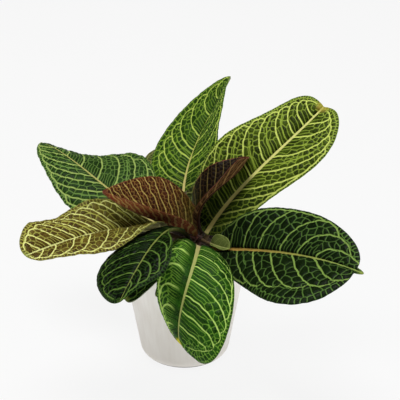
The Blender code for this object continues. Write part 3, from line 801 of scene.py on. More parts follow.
def blade_faces(shape, lower_shape):
    """Faces of the top skin, the underside and the thin edge, and which material each takes"""
    number = np.arange(shape[0] * shape[1]).reshape(shape)
    below = number.size + np.arange(lower_shape[0] * lower_shape[1]).reshape(lower_shape)
    quads = np.stack([number[:-1, :-1], number[:-1, 1:], number[1:, 1:], number[1:, :-1]], -1)
    under = np.stack([below[:-1, :-1], below[1:, :-1], below[1:, 1:], below[:-1, 1:]], -1)
    joins = strip(number[:, 0], below[:, 0], False) + strip(number[:, -1], below[:, -1], True)
    joins += strip(number[0], below[0], True) + strip(number[-1], below[-1], False)
    groups = (quads.reshape(-1, 4).tolist(), under.reshape(-1, 4).tolist(),
              [tuple(int(k) for k in f) for f in joins])
    return sum(groups, []), [0] * len(groups[0]) + [1] * len(groups[1]) + [0] * len(groups[2])


def grow_blade(form, seed):
    """Closed blade: a fine top skin with veins, net and midrib, and a coarser underside"""
    columns, t = blade_columns(form)
    points, fields = lay_out(form, columns, t, np.random.default_rng(seed))
    shape = points.shape[:2]
    out = out_of_skin(form, columns, points)
    start, end = form["band"]
    band = start + (end - start) * np.minimum(1.0, columns)[:, None] ** 0.7
    relief = swelling(form, fields, band)
    margin_share = np.abs(np.linspace(-1.0, 1.0, shape[1]))[None, :]
    thick = BLADE_THICK[0] + (BLADE_THICK[1] - BLADE_THICK[0]) * margin_share ** 3
    proud = VEIN_PROUD * np.exp(-(fields["side_line"] / 1.5) ** 2)
    upper = points + out * relief[..., None]
    lower = (points + out * (lowest_around(relief) - thick - proud)[..., None])[::2, ::2]
    faces, picks = blade_faces(shape, lower.shape[:2])

    kept = dict(side_vein=fields["side_line"], net=fields["net_line"],
                near=np.minimum(fields["side"], fields["net"]), cell=fields["cell"],
                edge=fields["edge"], along=np.repeat(columns[:, None], shape[1], 1),
                rib=np.abs(fields["y"]) / band, bold=fields["bold"], clear=fields["clear"],
                from_tip=np.hypot(fields["x"] - form["blade"], fields["y"]))
    values = {key: np.concatenate([v.ravel(), v[::2, ::2].ravel()]) for key, v in kept.items()}
    flat = np.stack([fields["x"], fields["y"], np.zeros(shape)], -1)
    values["flat"] = np.concatenate([flat.reshape(-1, 3), flat[::2, ::2].reshape(-1, 3)])
    return np.vstack([upper.reshape(-1, 3), lower.reshape(-1, 3)]), faces, picks, values


def grow_stalk(form):
    """Stalk and the keel that the midrib makes under the blade, as one closed tube"""
    radius = form["stalk_radius"]
    stalk, blade = form["stalk"], form["blade"]
    stations = np.concatenate([np.linspace(0.0, stalk, max(2, int(stalk / 2.0)), endpoint=False),
                               stalk + blade * np.linspace(0.0, 0.985, KEEL_STEPS)])
    centres, left, up = midline(form, stations)
    s = np.maximum((stations - stalk) / blade, 0.0)
    on_blade = np.clip((stations - stalk) / 6.0, 0.0, 1.0)
    depth = 2.0 * radius + (RIB_TIP_DEPTH - 2.0 * radius) * np.minimum(1.0, s * 1.6) ** 0.7
    half = radius * (1.0 - 0.85 * s)
    height = -0.35 * on_blade
    around = np.linspace(0.0, 2.0 * np.pi, STALK_SIDES, endpoint=False)
    rings = []
    for i in range(len(stations)):
        middle = (height[i] - depth[i]) / 2
        swell = 1.0 + 0.25 * math.exp(-stations[i] / 2.5)
        rings.append(centres[i] + left[i] * (half[i] * swell * np.cos(around))[:, None]
                     + up[i] * (middle + (height[i] + depth[i]) / 2 * swell
                                * np.sin(around))[:, None])
    # The foot clasps the stem: one more ring reaches into it
    first = rings[0].mean(0)
    goal = np.array([stem_centre(first[2]), 0.0, first[2]])
    rings.insert(0, rings[0] + (goal - first) * 0.55)
    tip, _, tip_up = midline(form, np.array([stalk + blade * 0.995]))
    points = np.vstack(rings)
    count = len(points)
    points = np.vstack([points, rings[0].mean(0), tip[0] - tip_up[0] * 0.5])
    faces = turned_faces(len(rings), STALK_SIDES, count, count + 1)
    share = np.concatenate([[0.0], (stations - stalk) / blade])
    return points, faces, np.concatenate([np.repeat(share, STALK_SIDES), [share[0], 1.0]])


def leathery_leaf(name, look):
    """Thick leathery leaf skin with a soft wax sheen: dark cells, a paler raised net, pale side
    veins, a midrib that runs from tan at its foot to yellow-green at the tip, a thin pale rim"""
    material, tree, shader = new_material(name)
    # Place on the flattened blade in mm, and what else is kept on the points
    flat = add_node(tree, "ShaderNodeAttribute", attribute_name="flat").outputs["Vector"]
    kept = {key: add_node(tree, "ShaderNodeAttribute", attribute_name=key).outputs["Fac"]
            for key in ("near", "cell", "net", "bold", "side_vein", "clear", "along", "rib",
                        "edge", "from_tip")}
    # Mottling about 6 mm across, and the finest net with meshes of about 1.6 mm
    mottle = add_node(tree, "ShaderNodeTexNoise",
                      {"Vector": flat, "Scale": 0.16, "Detail": 3.0}).outputs["Fac"]
    kept["fine"] = add_node(tree, "ShaderNodeTexVoronoi", {"Vector": flat, "Scale": 0.62},
                            feature="DISTANCE_TO_EDGE").outputs["Distance"]

    # Tone of a cell: its own, clouded by the mottling, and lighter close to a vein
    own = add_node(tree, "ShaderNodeMath",
                   {0: kept["cell"], 1: look["vary"], 2: look["base"] - 0.5 * look["vary"] - 0.6},
                   operation="MULTIPLY_ADD")
    clouded = add_node(tree, "ShaderNodeMath",
                       {0: mottle, 1: 1.2, 2: own.outputs[0]}, operation="MULTIPLY_ADD")
    glow = add_node(tree, "ShaderNodeMapRange",
                    {"Value": kept["near"], "From Max": look["glow"][1], "To Min": look["glow"][0],
                     "To Max": 0.0}, interpolation_type="SMOOTHSTEP")
    tone = add_node(tree, "ShaderNodeMath",
                    {0: clouded.outputs[0], 1: glow.outputs["Result"]}, operation="ADD",
                    use_clamp=True)
    colour = add_node(tree, "ShaderNodeMix",
                      {"Factor": tone.outputs[0], "A": look["cell"], "B": look["cell_light"]},
                      data_type="RGBA").outputs["Result"]
    along_rib = add_node(tree, "ShaderNodeMapRange",
                         {"Value": kept["along"], "From Max": look["rib_fade"]},
                         interpolation_type="SMOOTHSTEP")
    rib = add_node(tree, "ShaderNodeMix",
                   {"Factor": along_rib.outputs["Result"], "A": look["rib_foot"], "B": look["rib"]},
                   data_type="RGBA").outputs["Result"]

    # Layers of colour, each over the last: what it follows, where it starts to fade and is
    # gone, how strong it is, what thins it out, and its colour. The veins come first, then
    # painted shade toward the foot, where the crown shades the blade (on the olive and burgundy
    # leaves partly a tint of their own), the midrib, the margin, and the last millimetres of
    # the tip, which have yellowed or dried
    wide = look["wide"]
    tip_colour, tip_reach, tip_share = look["tip"]
    for follows, full, gone, share, thinned, tint in (
            ("fine", 0.03, 0.16, look["fine"], None, look["net"]),
            ("net", 0.55 * wide, 1.45 * wide, look["net_share"], "bold", look["net"]),
            ("side_vein", 0.65 * wide, 1.35 * wide, 1.0, "clear", look["vein"]),
            ("along", 0.0, look["shade"][1], look["shade"][0], None, look["foot_shade_and_tint"]),
            ("rib", 0.85, 1.12, 1.0, None, rib),
            ("edge", 0.25, 0.75, 0.8, None, look["rim"]),
            ("from_tip", 0.4 * tip_reach, tip_reach, tip_share, None, tip_colour)):
        cover = add_node(tree, "ShaderNodeMapRange",
                         {"Value": kept[follows], "From Min": full, "From Max": gone,
                          "To Min": share, "To Max": 0.0},
                         interpolation_type="SMOOTHSTEP").outputs["Result"]
        if thinned:
            cover = add_node(tree, "ShaderNodeMath", {0: cover, 1: kept[thinned]},
                             operation="MULTIPLY").outputs[0]
        colour = add_node(tree, "ShaderNodeMix", {"Factor": cover, "A": colour, "B": tint},
                          data_type="RGBA").outputs["Result"]

    # Wax: duller in the mottles; grain of the skin about 0.35 mm
    rough = add_node(tree, "ShaderNodeMapRange",
                     {"Value": mottle, "From Min": 0.3, "From Max": 0.7,
                      "To Min": look["rough"] - 0.05, "To Max": look["rough"] + 0.07},
                     interpolation_type="SMOOTHSTEP")
    grain = add_node(tree, "ShaderNodeTexNoise", {"Vector": flat, "Scale": 2.8, "Detail": 2.0})
    bump = add_node(tree, "ShaderNodeBump",
                    {"Height": grain.outputs["Fac"], "Strength": 0.25, "Distance": 0.0002})
    set_inputs(tree, shader, {"Base Color": colour, "Roughness": rough.outputs["Result"],
                              "Normal": bump.outputs["Normal"], "IOR": 1.45,
                              "Specular IOR Level": 0.06})
    return material


def fleshy_stalk(name, look):
    """Fleshy stalk and keel: smooth, dull, brown red at the stem and paler along the blade"""
    material, tree, shader = new_material(name)
    along = add_node(tree, "ShaderNodeAttribute", attribute_name="along")
    share = add_node(tree, "ShaderNodeMapRange", {"Value": along.outputs["Fac"], "From Max": 0.2})
    # Streaks of about 1.4 mm
    place = add_node(tree, "ShaderNodeTexCoord").outputs["Object"]
    streak = add_node(tree, "ShaderNodeTexNoise", {"Vector": place, "Scale": 700.0, "Detail": 3.0})
    mixed = add_node(tree, "ShaderNodeMath",
                     {0: streak.outputs["Fac"], 1: 0.25, 2: share.outputs["Result"]},
                     operation="MULTIPLY_ADD", use_clamp=True)
    colour = add_node(tree, "ShaderNodeMix",
                      {"Factor": mixed.outputs[0], "A": look["stalk"], "B": look["keel"]},
                      data_type="RGBA")
    set_inputs(tree, shader, {"Base Color": colour.outputs["Result"], "Roughness": 0.5,
                              "IOR": 1.45, "Specular IOR Level": 0.25})
    return material


def make_leaf(node, name, form, top, under, seed):
    """Blade, stalk and keel as one piece that stands for the CAD leaf"""
    points, faces, picks, values = grow_blade(form, seed)
    tube, tube_faces, along = grow_stalk(form)
    first = len(points)
    faces = faces + [tuple(k + first for k in f) for f in tube_faces]
    picks = picks + [2] * len(tube_faces)
    for key, array in values.items():
        filler = np.zeros((len(tube), 3)) if array.ndim == 2 else np.full(len(tube), FAR)
        values[key] = np.concatenate([array, along if key == "along" else filler])
    materials = [leathery_leaf(name + "_face", top), leathery_leaf(name + "_underside", under),
                 fleshy_stalk(name + "_stalk", under)]
    piece = add_piece(name, np.vstack([points, tube]), faces, materials, values, picks)
    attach(piece, "root")
    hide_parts(node)


# Looks of a leaf: colours of cell, net, side vein (vein), midrib (rib, rib_foot), margin (rim)
# and of the painted shade toward the foot where the crown shades the blade, on the olive and
# burgundy leaves partly a tint of their own (foot_shade_and_tint); shade, glow and tip give
# strength and reach in shares or mm; net_share, fine, vary and base are strengths; wide widens
# all lines; stalk and keel are the colours of the tube beneath
GREEN_FACE = dict(
    cell="#0f2c06", cell_light="#375810", net="#769430", vein="#a8bc52", rib="#a8ac54",
    rib_foot="#bdb06e", rim="#4a681c", net_share=0.95, fine=0.12, glow=(0.15, 1.3), vary=0.6,
    base=0.2, rib_fade=0.5, rough=0.42, shade=(0.45, 0.3), foot_shade_and_tint="#060c03",
    tip=("#8f9c4c", 5.0, 0.5), wide=1.0)
GREEN_UNDER = dict(
    cell="#6c8560", cell_light="#8ba07a", net="#a3b58a", vein="#b3c294", rib="#b9b683",
    rib_foot="#8d6f52", rim="#8fa072", net_share=0.5, fine=0.25, glow=(0.3, 1.2), vary=0.2,
    base=0.3, rib_fade=0.5, rough=0.55, shade=(0.4, 0.3), foot_shade_and_tint="#1c1a10",
    tip=("#a3a36c", 5.0, 0.5), wide=1.6, stalk="#4a2f22", keel="#a5a26c")

UPPER_LEFT = dict(
    LEAF, root=(8.2, 1.3, 108), stalk=31, blade=175, stalk_radius=2,
    bearing=(160, -47, 13), rise=(14, 51, -74), roll=(-26, 42),
    width=(37, 47), crest=0.8, base_power=(0.85, 0.85), tip_power=0.7, skew=(0.05, 0.2),
    wave=(2, 3.5), wave_at=(0.25, 0.6), sweep=(0.25, 0.3), ruffle=(0.5, 17),
    fold=(1, 30), unfold=(-16, -48), cup=(-24, -4),
    starts=((10, 26, 43, 59, 75, 87, 106, 128, 148), (9, 24, 42, 61, 82, 106, 128, 148)),
    run=(((46, 40), (1.0, 0.8), 0.66, 0.85),
         ((66, 56), (1.0, 0.85), 0.62, 0.85)),
    net=((9, 3.2, 5.4, 5.6), (13, 2.7, 4.6, 5.6)),
    band=(1.7, 0.3), line=(1.1, 1.1), puff=1.0)
make_leaf("leaf_upper_left", "upper_left_leaf", UPPER_LEFT,
          dict(GREEN_FACE, cell="#0b2106", cell_light="#2c4a1a", net="#68883e", vein="#98ae5c",
               rib="#b0ac62", rim="#5c783e"),
          GREEN_UNDER, 11)


# Top leaf: the upright one, a leathery mid green blade drawn out to a long point. Its long
# stalk leaves the far side of the stem near the top, and its sides fold up from the midrib.
TOP = dict(
    LEAF, root=(11.1, 3.2, 113.5), stalk=57, blade=126, stalk_radius=2,
    bearing=(120, -105, 1), rise=(14, 64, -16), roll=(-24, 9),
    width=(44, 38), crest=0.8, base_power=(0.75, 0.75), tip_power=0.6, skew=(0, 0.05),
    wave=(0.5, 2), wave_at=(0.05, 0.65), sweep=(-0.1, 0.25), ruffle=(0.15, 13),
    fold=(13, 18), unfold=(21, -2), cup=(-16, -13),
    starts=((9, 20, 37, 47, 62, 84, 102), (5, 20, 36, 55, 77, 98)),
    run=(((68, 78), (0.85, 0.9), 0.54, 0.92),
         ((90, 30), (1.5, 0.3), 0.69, 0.88)),
    net=((11, 2.9, 4.8, 5.2), (9, 2.9, 4.8, 5.2)),
    band=(1.5, 0.4), line=(1.0, 1.0), puff=1.0)
make_leaf("leaf_top", "top_leaf", TOP, GREEN_FACE, GREEN_UNDER, 12)


# Upper right leaf: the largest, leathery and yellow-green, with a broad pale midrib and a
# notched end that has browned. It rises from the top of the stem on a short, thick stalk.
UPPER_RIGHT = dict(
    LEAF, root=(17.5, 2, 113.5), stalk=4, blade=155, stalk_radius=2.1,
    bearing=(7, 11, 9), rise=(62, -53, 30), roll=(33, -11),
    width=(44, 38), crest=0.8, base_power=(0.28, 0.5), tip_power=0.35, skew=(0.1, -0.2),
    wave=(2, 0), wave_at=(-0.4, 0.25), sweep=(0.2, 0.4), ruffle=(0.15, 13),
    fold=(18, 8), unfold=(1, 9), cup=(-11, -20),
    starts=((15, 31, 47, 66, 84, 104, 119, 130.5, 142), (6, 21, 36, 50, 71, 91, 116, 133)),
    run=(((78, 86), (1.1, 0.82), 0.65, 0.9),
         ((45, 66), (1.4, 0.56), 0.78, 0.9)),
    net=((15, 3.2, 4.6, 4.6), (13, 3.2, 4.4, 5.0)),
    band=(2.4, 0.9), line=(1.0, 1.0), puff=1.0)
# The foot of its midrib is drawn paler than its own pale yellow: painted light against the shade of
# the crown above it
make_leaf("leaf_upper_right", "upper_right_leaf", UPPER_RIGHT,
          dict(GREEN_FACE, cell="#162202", cell_light="#46590f", net="#8ea33a", vein="#c4d266",
               rib="#d0ce7c", rib_foot="#fff09a", rim="#708b2c", shade=(0.6, 0.5),
               foot_shade_and_tint="#0a2410", tip=("#a89a3c", 9.0, 0.7)),
          GREEN_UNDER, 13)


# Right leaf: leathery, very dark green, with a tan midrib and a drip tip. Its cells are large
# and lie in arched rows along the margin, and its stalk clasps the right side of the stem.
RIGHT = dict(
    LEAF, root=(13.9, -3.2, 104), stalk=12, blade=176, stalk_radius=2,
    bearing=(-44, 6, -16), rise=(19, -7, -8), roll=(44, -15),
    width=(41, 56), crest=0.95, base_power=(0.8, 0.8), tip_power=0.5, skew=(0.05, -0.15),
    wave=(3.5, 3), wave_at=(0.15, 0.45), sweep=(0.15, 0.55), ruffle=(0.2, 15),
    fold=(28, 22), unfold=(-17, -5), cup=(-5, -14), drip=(0.055, 3.0),
    starts=((14, 28, 43, 60, 84, 103.5, 124), (16, 37, 55.5, 75, 98, 122)),
    run=(((98, 74), (1.7, 0.5), 0.66, 0.8),
         ((88, 14), (1.0, 0.52), 0.6, 0.9)),
    net=((13, 4.0, 6.5, 7.2), (9, 5.2, 8.0, 10.0)), between=0.15,
    band=(2.1, 0.6), line=(1.05, 1.05), puff=1.3)
DARK_UNDER = dict(GREEN_UNDER, cell="#50684a", cell_light="#6d8560")
make_leaf("leaf_right", "right_leaf", RIGHT,
          dict(GREEN_FACE, cell="#020a01", cell_light="#11230a", net="#547434", vein="#7f9b4a",
               rib="#869a4c", rib_foot="#a8803e", rib_fade=0.95, rim="#22351c", fine=0.08,
               shade=(0.75, 0.42)),
          DARK_UNDER, 14)


# Front leaf: a mid green leathery blade that hangs down before the pot from the near side of
# the stem. Beside its midrib run close parallel veins like the teeth of a comb.
FRONT = dict(
    LEAF, root=(10.6, -5.4, 101.5), stalk=13, blade=132, stalk_radius=2,
    bearing=(-82, -27, -29), rise=(52, -132, -25), roll=(-18, 19),
    width=(44, 27), crest=0.9, base_power=(0.65, 0.5), tip_power=0.35, skew=(-0.1, 0),
    wave=(-0.5, 1), wave_at=(0, 0.55), sweep=(0.75, 0.3), ruffle=(0.15, 12),
    fold=(2, 24), unfold=(5, -30), cup=(-24, -19),
    starts=((10, 22, 34, 46, 61, 74, 88, 101, 113), (22, 39, 56, 73, 90, 106, 120)),
    run=(((84, 70), (1.0, 0.9), 0.66, 0.85),
         ((142, 132), (1.0, 0.9), 0.8, -0.35)),
    net=((22, 2.8, 4.4, 5.0), (24, 1.9, 4.4, 5.0)), strip_share=0.85, quiet=(0.0, 0.3), between=0.3,
    band=(2.6, 0.45), line=(0.76, 1.3), puff=1.0)
make_leaf("leaf_front", "front_leaf", FRONT,
          dict(GREEN_FACE, cell="#0a2c04", cell_light="#2c6012", net="#74a038", vein="#b0d068",
               shade=(0.65, 0.4), foot_shade_and_tint="#04170a", rib="#a3a860", rib_foot="#b5a274",
               tip=("#d0c81e", 7.0, 0.9)),
          GREEN_UNDER, 15)


# Lower left leaf: leathery and blunt, with an olive midrib, in the shade of the leaves above,
# and drawn dark with painted shade for it. Its half toward the front leaf is narrow and lies
# behind that leaf.
LOWER_LEFT = dict(
    LEAF, root=(9, -4.6, 106), stalk=33, blade=138, stalk_radius=2,
    bearing=(-114, 21, -28), rise=(62, -125, 23), roll=(10, 8),
    width=(17, 40), crest=0.9, base_power=(1.0, 1.1), tip_power=0.65, skew=(-1.0, -0.1),
    wave=(2.5, 0.5), wave_at=(-0.4, 0.5), sweep=(0.2, 0.75), ruffle=(0.2, 13),
    fold=(-6, 6), unfold=(25, 1), cup=(-19, -19),
    starts=((18, 36, 54, 72, 86, 98, 108, 119), (20, 38, 54, 69, 87, 100, 111, 125)),
    run=(((84, 80), (1.0, 0.85), 0.62, 0.85),
         ((88, 76), (1.0, 0.85), 0.62, 0.85)),
    net=((11, 2.6, 4.6, 5.0), (11, 2.6, 4.6, 5.2)),
    band=(1.6, 0.4), line=(0.95, 0.95), puff=1.0)
# Painted shade: the green face drawn much darker, for leaves that lie in the shade of those above
SHADED_FACE = dict(
    GREEN_FACE, cell="#010700", cell_light="#081604", net="#294414", vein="#587430",
    rib="#7b8440", rib_foot="#5f5c2a", rim="#2f4a1c", fine=0.08, shade=(0.8, 0.6))
# Darkest of all at its foot, where its midrib, stalk and keel are drawn dark too: painted shade
make_leaf("leaf_lower_left", "lower_left_leaf", LOWER_LEFT,
          dict(SHADED_FACE, rib_foot="#232a0c", shade=(1.0, 0.5), tip=("#587430", 4.0, 0.3)),
          dict(DARK_UNDER, stalk="#1c120a", keel="#4a4c24"), 16)


# Leaf under the lower left one: small, on a thin stalk low on the stem, and drawn dark with
# painted shade. Its near edge is rolled up and shows the paler underside.
UNDER_LOWER_LEFT = dict(
    LEAF, root=(6, -4.4, 98), stalk=16, blade=87, stalk_radius=1.7,
    bearing=(-121, -6, -5), rise=(39, -77, -9), roll=(-9, -15),
    width=(19, 20), crest=0.85, base_power=(0.9, 0.9), tip_power=0.5, skew=(0, 0),
    wave=(0.5, 1.5), wave_at=(0.25, 0.65), sweep=(0.55, 0), ruffle=(0.15, 11),
    fold=(12, 4), unfold=(-18, 0), cup=(43, -14),
    starts=((12, 24, 36, 48, 60, 72), (10, 22, 34, 46, 58, 70)),
    run=(((66, 60), (0.85, 0.7), 0.55, 0.55),) * 2,
    net=((7, 2.5, 4.0, 4.4),) * 2,
    band=(1.1, 0.35), line=(0.9, 0.9), puff=0.8)
make_leaf("leaf_under_lower_left", "under_lower_left_leaf", UNDER_LOWER_LEFT,
          dict(SHADED_FACE, rim="#8e9878"), DARK_UNDER, 17)


# Left leaf: the oldest, its leather olive and brown between a broad yellow net. It leaves the
# stem near the top on a long stalk, and one side of it curls.
LEFT = dict(
    LEAF, root=(8.4, -1.9, 110.5), stalk=35, blade=139, stalk_radius=1.9,
    bearing=(-146, 1, 5), rise=(40, -83, 39), roll=(17, -14),
    width=(36, 34), crest=0.85, base_power=(0.75, 0.75), tip_power=0.5, skew=(0.05, -0.1),
    wave=(-4.5, -7), wave_at=(0.45, 1.4), sweep=(0, 0.4), ruffle=(0.3, 19),
    fold=(21, 38), unfold=(-34, 2), cup=(-8, -2),
    starts=((8, 24, 41, 60, 78, 93, 111, 123), (6, 14, 23, 34, 47, 58, 68, 80, 91, 102, 114, 125)),
    run=(((66, 66), (1.0, 0.9), 0.6, 0.8),
         ((62, 52), (1.0, 0.75), 0.62, 0.8)),
    net=((8, 2.9, 5.2, 5.6), (9, 2.6, 4.6, 5.2)),
    band=(1.2, 0.8), line=(0.82, 0.88), puff=1.1)
make_leaf("leaf_left", "left_leaf", LEFT,
          dict(GREEN_FACE, cell="#3c260a", cell_light="#6b5820", net="#aeae50", vein="#dfe28a",
               rib="#d3d588", rib_foot="#bfc574", rim="#8a8a3f", shade=(0.6, 0.7), foot_shade_and_tint="#37471a"),
          dict(GREEN_UNDER, cell="#7f7c50", cell_light="#94905f", net="#b3af78", vein="#c9c68c"),
          18)


# Young left leaf: still soft and folded to a V, burgundy inside with yellow veins, red
# outside. It sits on the top of the stem without a stalk, and its veins end at the margin.
YOUNG_LEFT = dict(
    LEAF, root=(9.9, -2.1, 116), stalk=0, blade=107, stalk_radius=1.9,
    bearing=(-155, 8, -4), rise=(40, -50, 59), roll=(-15, -2),
    width=(29, 35), crest=0.8, base_power=(0.6, 0.4), tip_power=0.8, skew=(0, 0),
    wave=(0.5, 1), wave_at=(0.05, 0.7), sweep=(0.3, 0.12), ruffle=(0.1, 9),
    fold=(50, 60), unfold=(-3, -3), cup=(-11, -5),
    starts=((3, 9, 16, 23, 30, 37, 45, 53, 61, 69, 77, 85),
            (2, 8, 15, 22, 30, 37, 45, 52, 60, 68, 76, 85)),
    run=(((46, 46), (1.0, 1.0), 0.0, 0.95),) * 2,
    net=((12, 1.9, 3.0, 3.4),) * 2, kink=0.6, between=0.0,
    band=(1.2, 0.5), line=(0.75, 0.75), puff=0.6)
BURGUNDY_FACE = dict(
    GREEN_FACE, cell="#300a07", cell_light="#531b12", net="#a07a3a", vein="#c8b060", rib="#a98a55",
    rib_foot="#7a5636", rim="#7d4634", net_share=0.85, fine=0.15, rough=0.46, shade=(0.7, 0.4),
    foot_shade_and_tint="#44481a", tip=("#6e3228", 7.0, 0.7))
BURGUNDY_UNDER = dict(
    GREEN_UNDER, cell="#93332c", cell_light="#a84c42", net="#c48a56", vein="#d8b070", rib="#b98a5e",
    rib_foot="#7d4a38", rim="#b07c6c", net_share=0.8, shade=(0.4, 0.3), foot_shade_and_tint="#4a3a16",
    wide=2.0, tip=("#7a3a2e", 7.0, 0.7), stalk="#3a1812", keel="#96614a")
make_leaf("leaf_young_left", "young_left_leaf", YOUNG_LEFT, BURGUNDY_FACE, BURGUNDY_UNDER,
          19)


# Young right leaf: the darkest burgundy, still soft and folded to a V, with a tan strip down
# its fold. Its short stalk stands on the tip of the stem.
YOUNG_RIGHT = dict(
    LEAF, root=(14.5, -0.3, 118.2), stalk=5, blade=86, stalk_radius=1.5,
    bearing=(-36, 59, 41), rise=(121, -233, 151), roll=(3, -12),
    width=(22, 17), crest=0.85, base_power=(0.6, 0.9), tip_power=0.75, skew=(0, -0.5),
    wave=(0, 3), wave_at=(0.05, 0.35), sweep=(0.25, 0.6), ruffle=(0.1, 9),
    fold=(52, 40), unfold=(-1, 12), cup=(-14, -19),
    starts=((6, 15, 24, 33, 42, 51, 60, 70),) * 2,
    run=(((50, 50), (1.0, 1.0), 0.0, 0.8),) * 2,
    net=((5, 2.6, 3.4, 3.4),) * 2, between=0.0,
    band=(1.1, 0.4), line=(0.68, 0.68), puff=0.6)
make_leaf("leaf_young_right", "young_right_leaf", YOUNG_RIGHT,
          dict(BURGUNDY_FACE, cell="#050101", cell_light="#150805", net="#3c2e14", vein="#5c5029",
               tip=("#4a1f1a", 8.0, 0.7)),
          dict(BURGUNDY_UNDER, cell="#2e170e", cell_light="#4a2e1c", net="#80603c", vein="#98754a",
               rim="#7c5a3c", stalk="#1c0d09", keel="#4a2f20", shade=(0.7, 0.35), foot_shade_and_tint="#070302",
               tip=("#5a2a20", 8.0, 0.7)),
          20)


# Bud leaf: the newest, a small pale green cup at the crown on a thin stalk. It is soft and
# nearly smooth, with veins that barely show.
BUD = dict(
    LEAF, root=(15.8, -2.2, 114), stalk=13, blade=28, stalk_radius=1.3,
    bearing=(-56, 2, 3), rise=(4, 1, 12), roll=(29, 0),
    width=(10.5, 3), crest=0.95, base_power=(0.3, 0.3), tip_power=0.35, skew=(0, 0),
    wave=(0.5, 1), wave_at=(-0.05, 0.75), sweep=(-0.1, 0.35), ruffle=(0.0, 9),
    fold=(44, 17), unfold=(-2, 1), cup=(-19, -9),
    starts=((5, 12, 19), (6, 14)),
    run=(((60, 60), (0.9, 0.8), 0.55, 0.6),
         ((50, 50), (0.8, 0.8), 0.5, 0.6)),
    net=((3, 1.6, 2.4, 2.4),) * 2, between=0.0,
    band=(0.6, 0.3), line=(0.6, 0.6), puff=0.1)
make_leaf("leaf_bud", "bud_leaf", BUD,
          dict(GREEN_FACE, cell="#515d2b", cell_light="#5f6b34", net="#626e37", vein="#6c783d",
               rib="#949a5a", rib_foot="#8a8550", rim="#7f8b4a"),
          dict(GREEN_UNDER, cell="#5d6f35", cell_light="#75864a"), 21)


# Back leaf: olive and leathery, with a yellow-brown margin, on a stalk from the far side of
# the stem. It shows only between the upper left and top leaves, so it has fewer points.
BACK = dict(
    LEAF, root=(10.3, 4.5, 105.5), stalk=32, blade=115, stalk_radius=1.9,
    bearing=(101, -1, 6), rise=(16, 3, -2), roll=(19, 0),
    width=(35, 27), crest=0.95, base_power=(0.9, 0.9), tip_power=0.65, skew=(0, 0),
    wave=(1, 0.5), wave_at=(0.1, 0.55), sweep=(0.3, 0.35), ruffle=(0.2, 13),
    fold=(6, 1), unfold=(-2, -3), cup=(-18, -17),
    starts=((12, 27, 42, 57, 72, 88), (10, 25, 40, 55, 70, 86)),
    run=(((66, 60), (0.88, 0.75), 0.58, 0.58),) * 2,
    net=((10, 3.0, 4.8, 5.2),) * 2,
    band=(1.3, 0.4), line=(1.0, 1.0), space=0.85, puff=1.0)
make_leaf("leaf_back", "back_leaf", BACK,
          dict(GREEN_FACE, cell="#2a3418", cell_light="#4c5a28", net="#7d7f45",
               vein="#a3a45c", rim="#8a7a48"),
          GREEN_UNDER, 22)


# Small front leaf: small and narrow, drawn dark with painted shade, on a stalk low on the near
# side of the stem. Only its tip shows, beside the front leaf, so it has fewer points.
SMALL_FRONT = dict(
    LEAF, root=(10, -5.5, 96.2), stalk=14, blade=72, stalk_radius=1.4,
    bearing=(-108, -7, -6), rise=(35, -70, 1), roll=(0, -1),
    width=(15, 9), crest=0.85, base_power=(0.9, 0.9), tip_power=0.55, skew=(-0.05, 0.1),
    wave=(0, 2), wave_at=(0, 0.65), sweep=(0.45, 0.35), ruffle=(0.1, 11),
    fold=(8, 11), unfold=(-4, 0), cup=(-17, -16),
    starts=((10, 20, 30, 40, 50, 60),) * 2,
    run=(((66, 60), (0.85, 0.75), 0.55, 0.55),) * 2,
    net=((6, 2.2, 3.6, 3.8),) * 2,
    band=(0.9, 0.3), line=(0.8, 0.8), space=0.85, puff=0.6)
make_leaf("leaf_small_front", "small_front_leaf", SMALL_FRONT, SHADED_FACE, DARK_UNDER,
          23)


# Floor: a plain pale light table of opal acrylic, far larger than the view, so that no edge of
# it shows. Its own glow takes most of the shadow away.
FLOOR_HALF = 6.0              # metres from its middle to each side
FLOOR_DROP = 0.05             # keeps it just clear of the pot's flat foot


def opal_acrylic():
    """Matte white acrylic lit from beneath: even and nearly without shadow"""
    material, tree, shader = new_material("opal_acrylic")
    place = add_node(tree, "ShaderNodeTexCoord").outputs["Object"]
    # Clouds about 300 mm across, hardly to be seen
    cloud = add_node(tree, "ShaderNodeTexNoise", {"Vector": place, "Scale": 3.0})
    colour = add_node(tree, "ShaderNodeMix",
                      {"Factor": cloud.outputs["Fac"], "A": "#3e3e3e", "B": "#404040"},
                      data_type="RGBA")
    set_inputs(tree, shader, {"Base Color": colour.outputs["Result"], "Roughness": 0.9,
                              "Emission Color": "#ffffff", "Emission Strength": 0.885})
    return material


corners = [(-1, -1), (1, -1), (1, 1), (-1, 1)]
floor = add_piece("floor",
                  [(x * FLOOR_HALF / MM, y * FLOOR_HALF / MM, -FLOOR_DROP) for x, y in corners],
                  [(0, 1, 2, 3)], [opal_acrylic()])


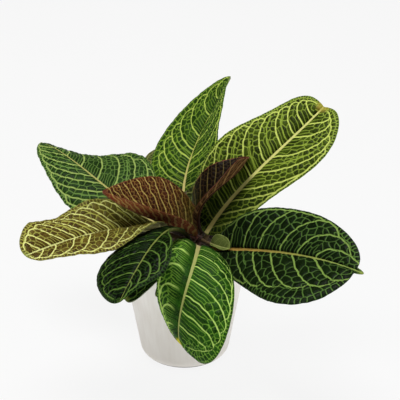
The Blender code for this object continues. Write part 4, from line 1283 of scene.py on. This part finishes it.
# Light: a large soft box above and a little to the left, a low and broad far light from each
# side, and a pale cove all round that is bright at the table and dim overhead.
LIT_PLACE = Vector((0.0, 0.0, 0.1))
BOX_SIZE = 1.05
FAR_LIGHT_SPREAD = math.radians(27.0)


def studio_light(name, kind, place, power):
    """Light that points at the middle of the plant; power in W, of a far light in W per m2"""
    data = bpy.data.lights.new(name, kind)
    data.energy = power
    lamp = bpy.data.objects.new(name, data)
    lamp.location = place
    lamp.rotation_euler = (LIT_PLACE - lamp.location).to_track_quat("-Z", "Y").to_euler()
    bpy.context.scene.collection.objects.link(lamp)
    return data


studio_light("box_above", "AREA", (-0.22, -0.15, 2.2), 46.0).size = BOX_SIZE
studio_light("far_left", "SUN", (-2.4, -0.8, 0.4), 0.45).angle = FAR_LIGHT_SPREAD
studio_light("far_right", "SUN", (2.4, -0.8, 0.35), 1.0).angle = FAR_LIGHT_SPREAD
world = bpy.data.worlds.new("pale_cove")
world.use_nodes = True
cove = world.node_tree
direction = add_node(cove, "ShaderNodeTexCoord").outputs["Generated"]
height = add_node(cove, "ShaderNodeSeparateXYZ", {"Vector": direction})
fade = add_node(cove, "ShaderNodeMapRange",
                {"Value": height.outputs["Z"], "From Min": 0.03, "From Max": 0.3, "To Min": 0.75,
                 "To Max": 0.04}, interpolation_type="SMOOTHSTEP")
set_inputs(cove, cove.nodes["Background"], {"Color": "#ffffff",
                                            "Strength": fade.outputs["Result"]})
bpy.context.scene.world = world
bpy.context.scene.view_settings.view_transform = "Standard"


# Camera: a long lens level with a seated eye, in front of the plant and looking down at its
# leaves from a little to the right.
LENS = 100.0                  # focal length and sensor width in mm
SENSOR = 36.0
CAMERA_PLACE = (0.01395, -0.90249, 0.52647)
LOOK_DOWN = 22.6              # degrees
camera_data = bpy.data.cameras.new("camera")
camera_data.lens = LENS
camera_data.sensor_width = SENSOR
camera = bpy.data.objects.new("camera", camera_data)
camera.location = CAMERA_PLACE
camera.rotation_euler = (math.radians(90.0 - LOOK_DOWN), 0.0, 0.0)
bpy.context.scene.collection.objects.link(camera)
bpy.context.scene.camera = camera
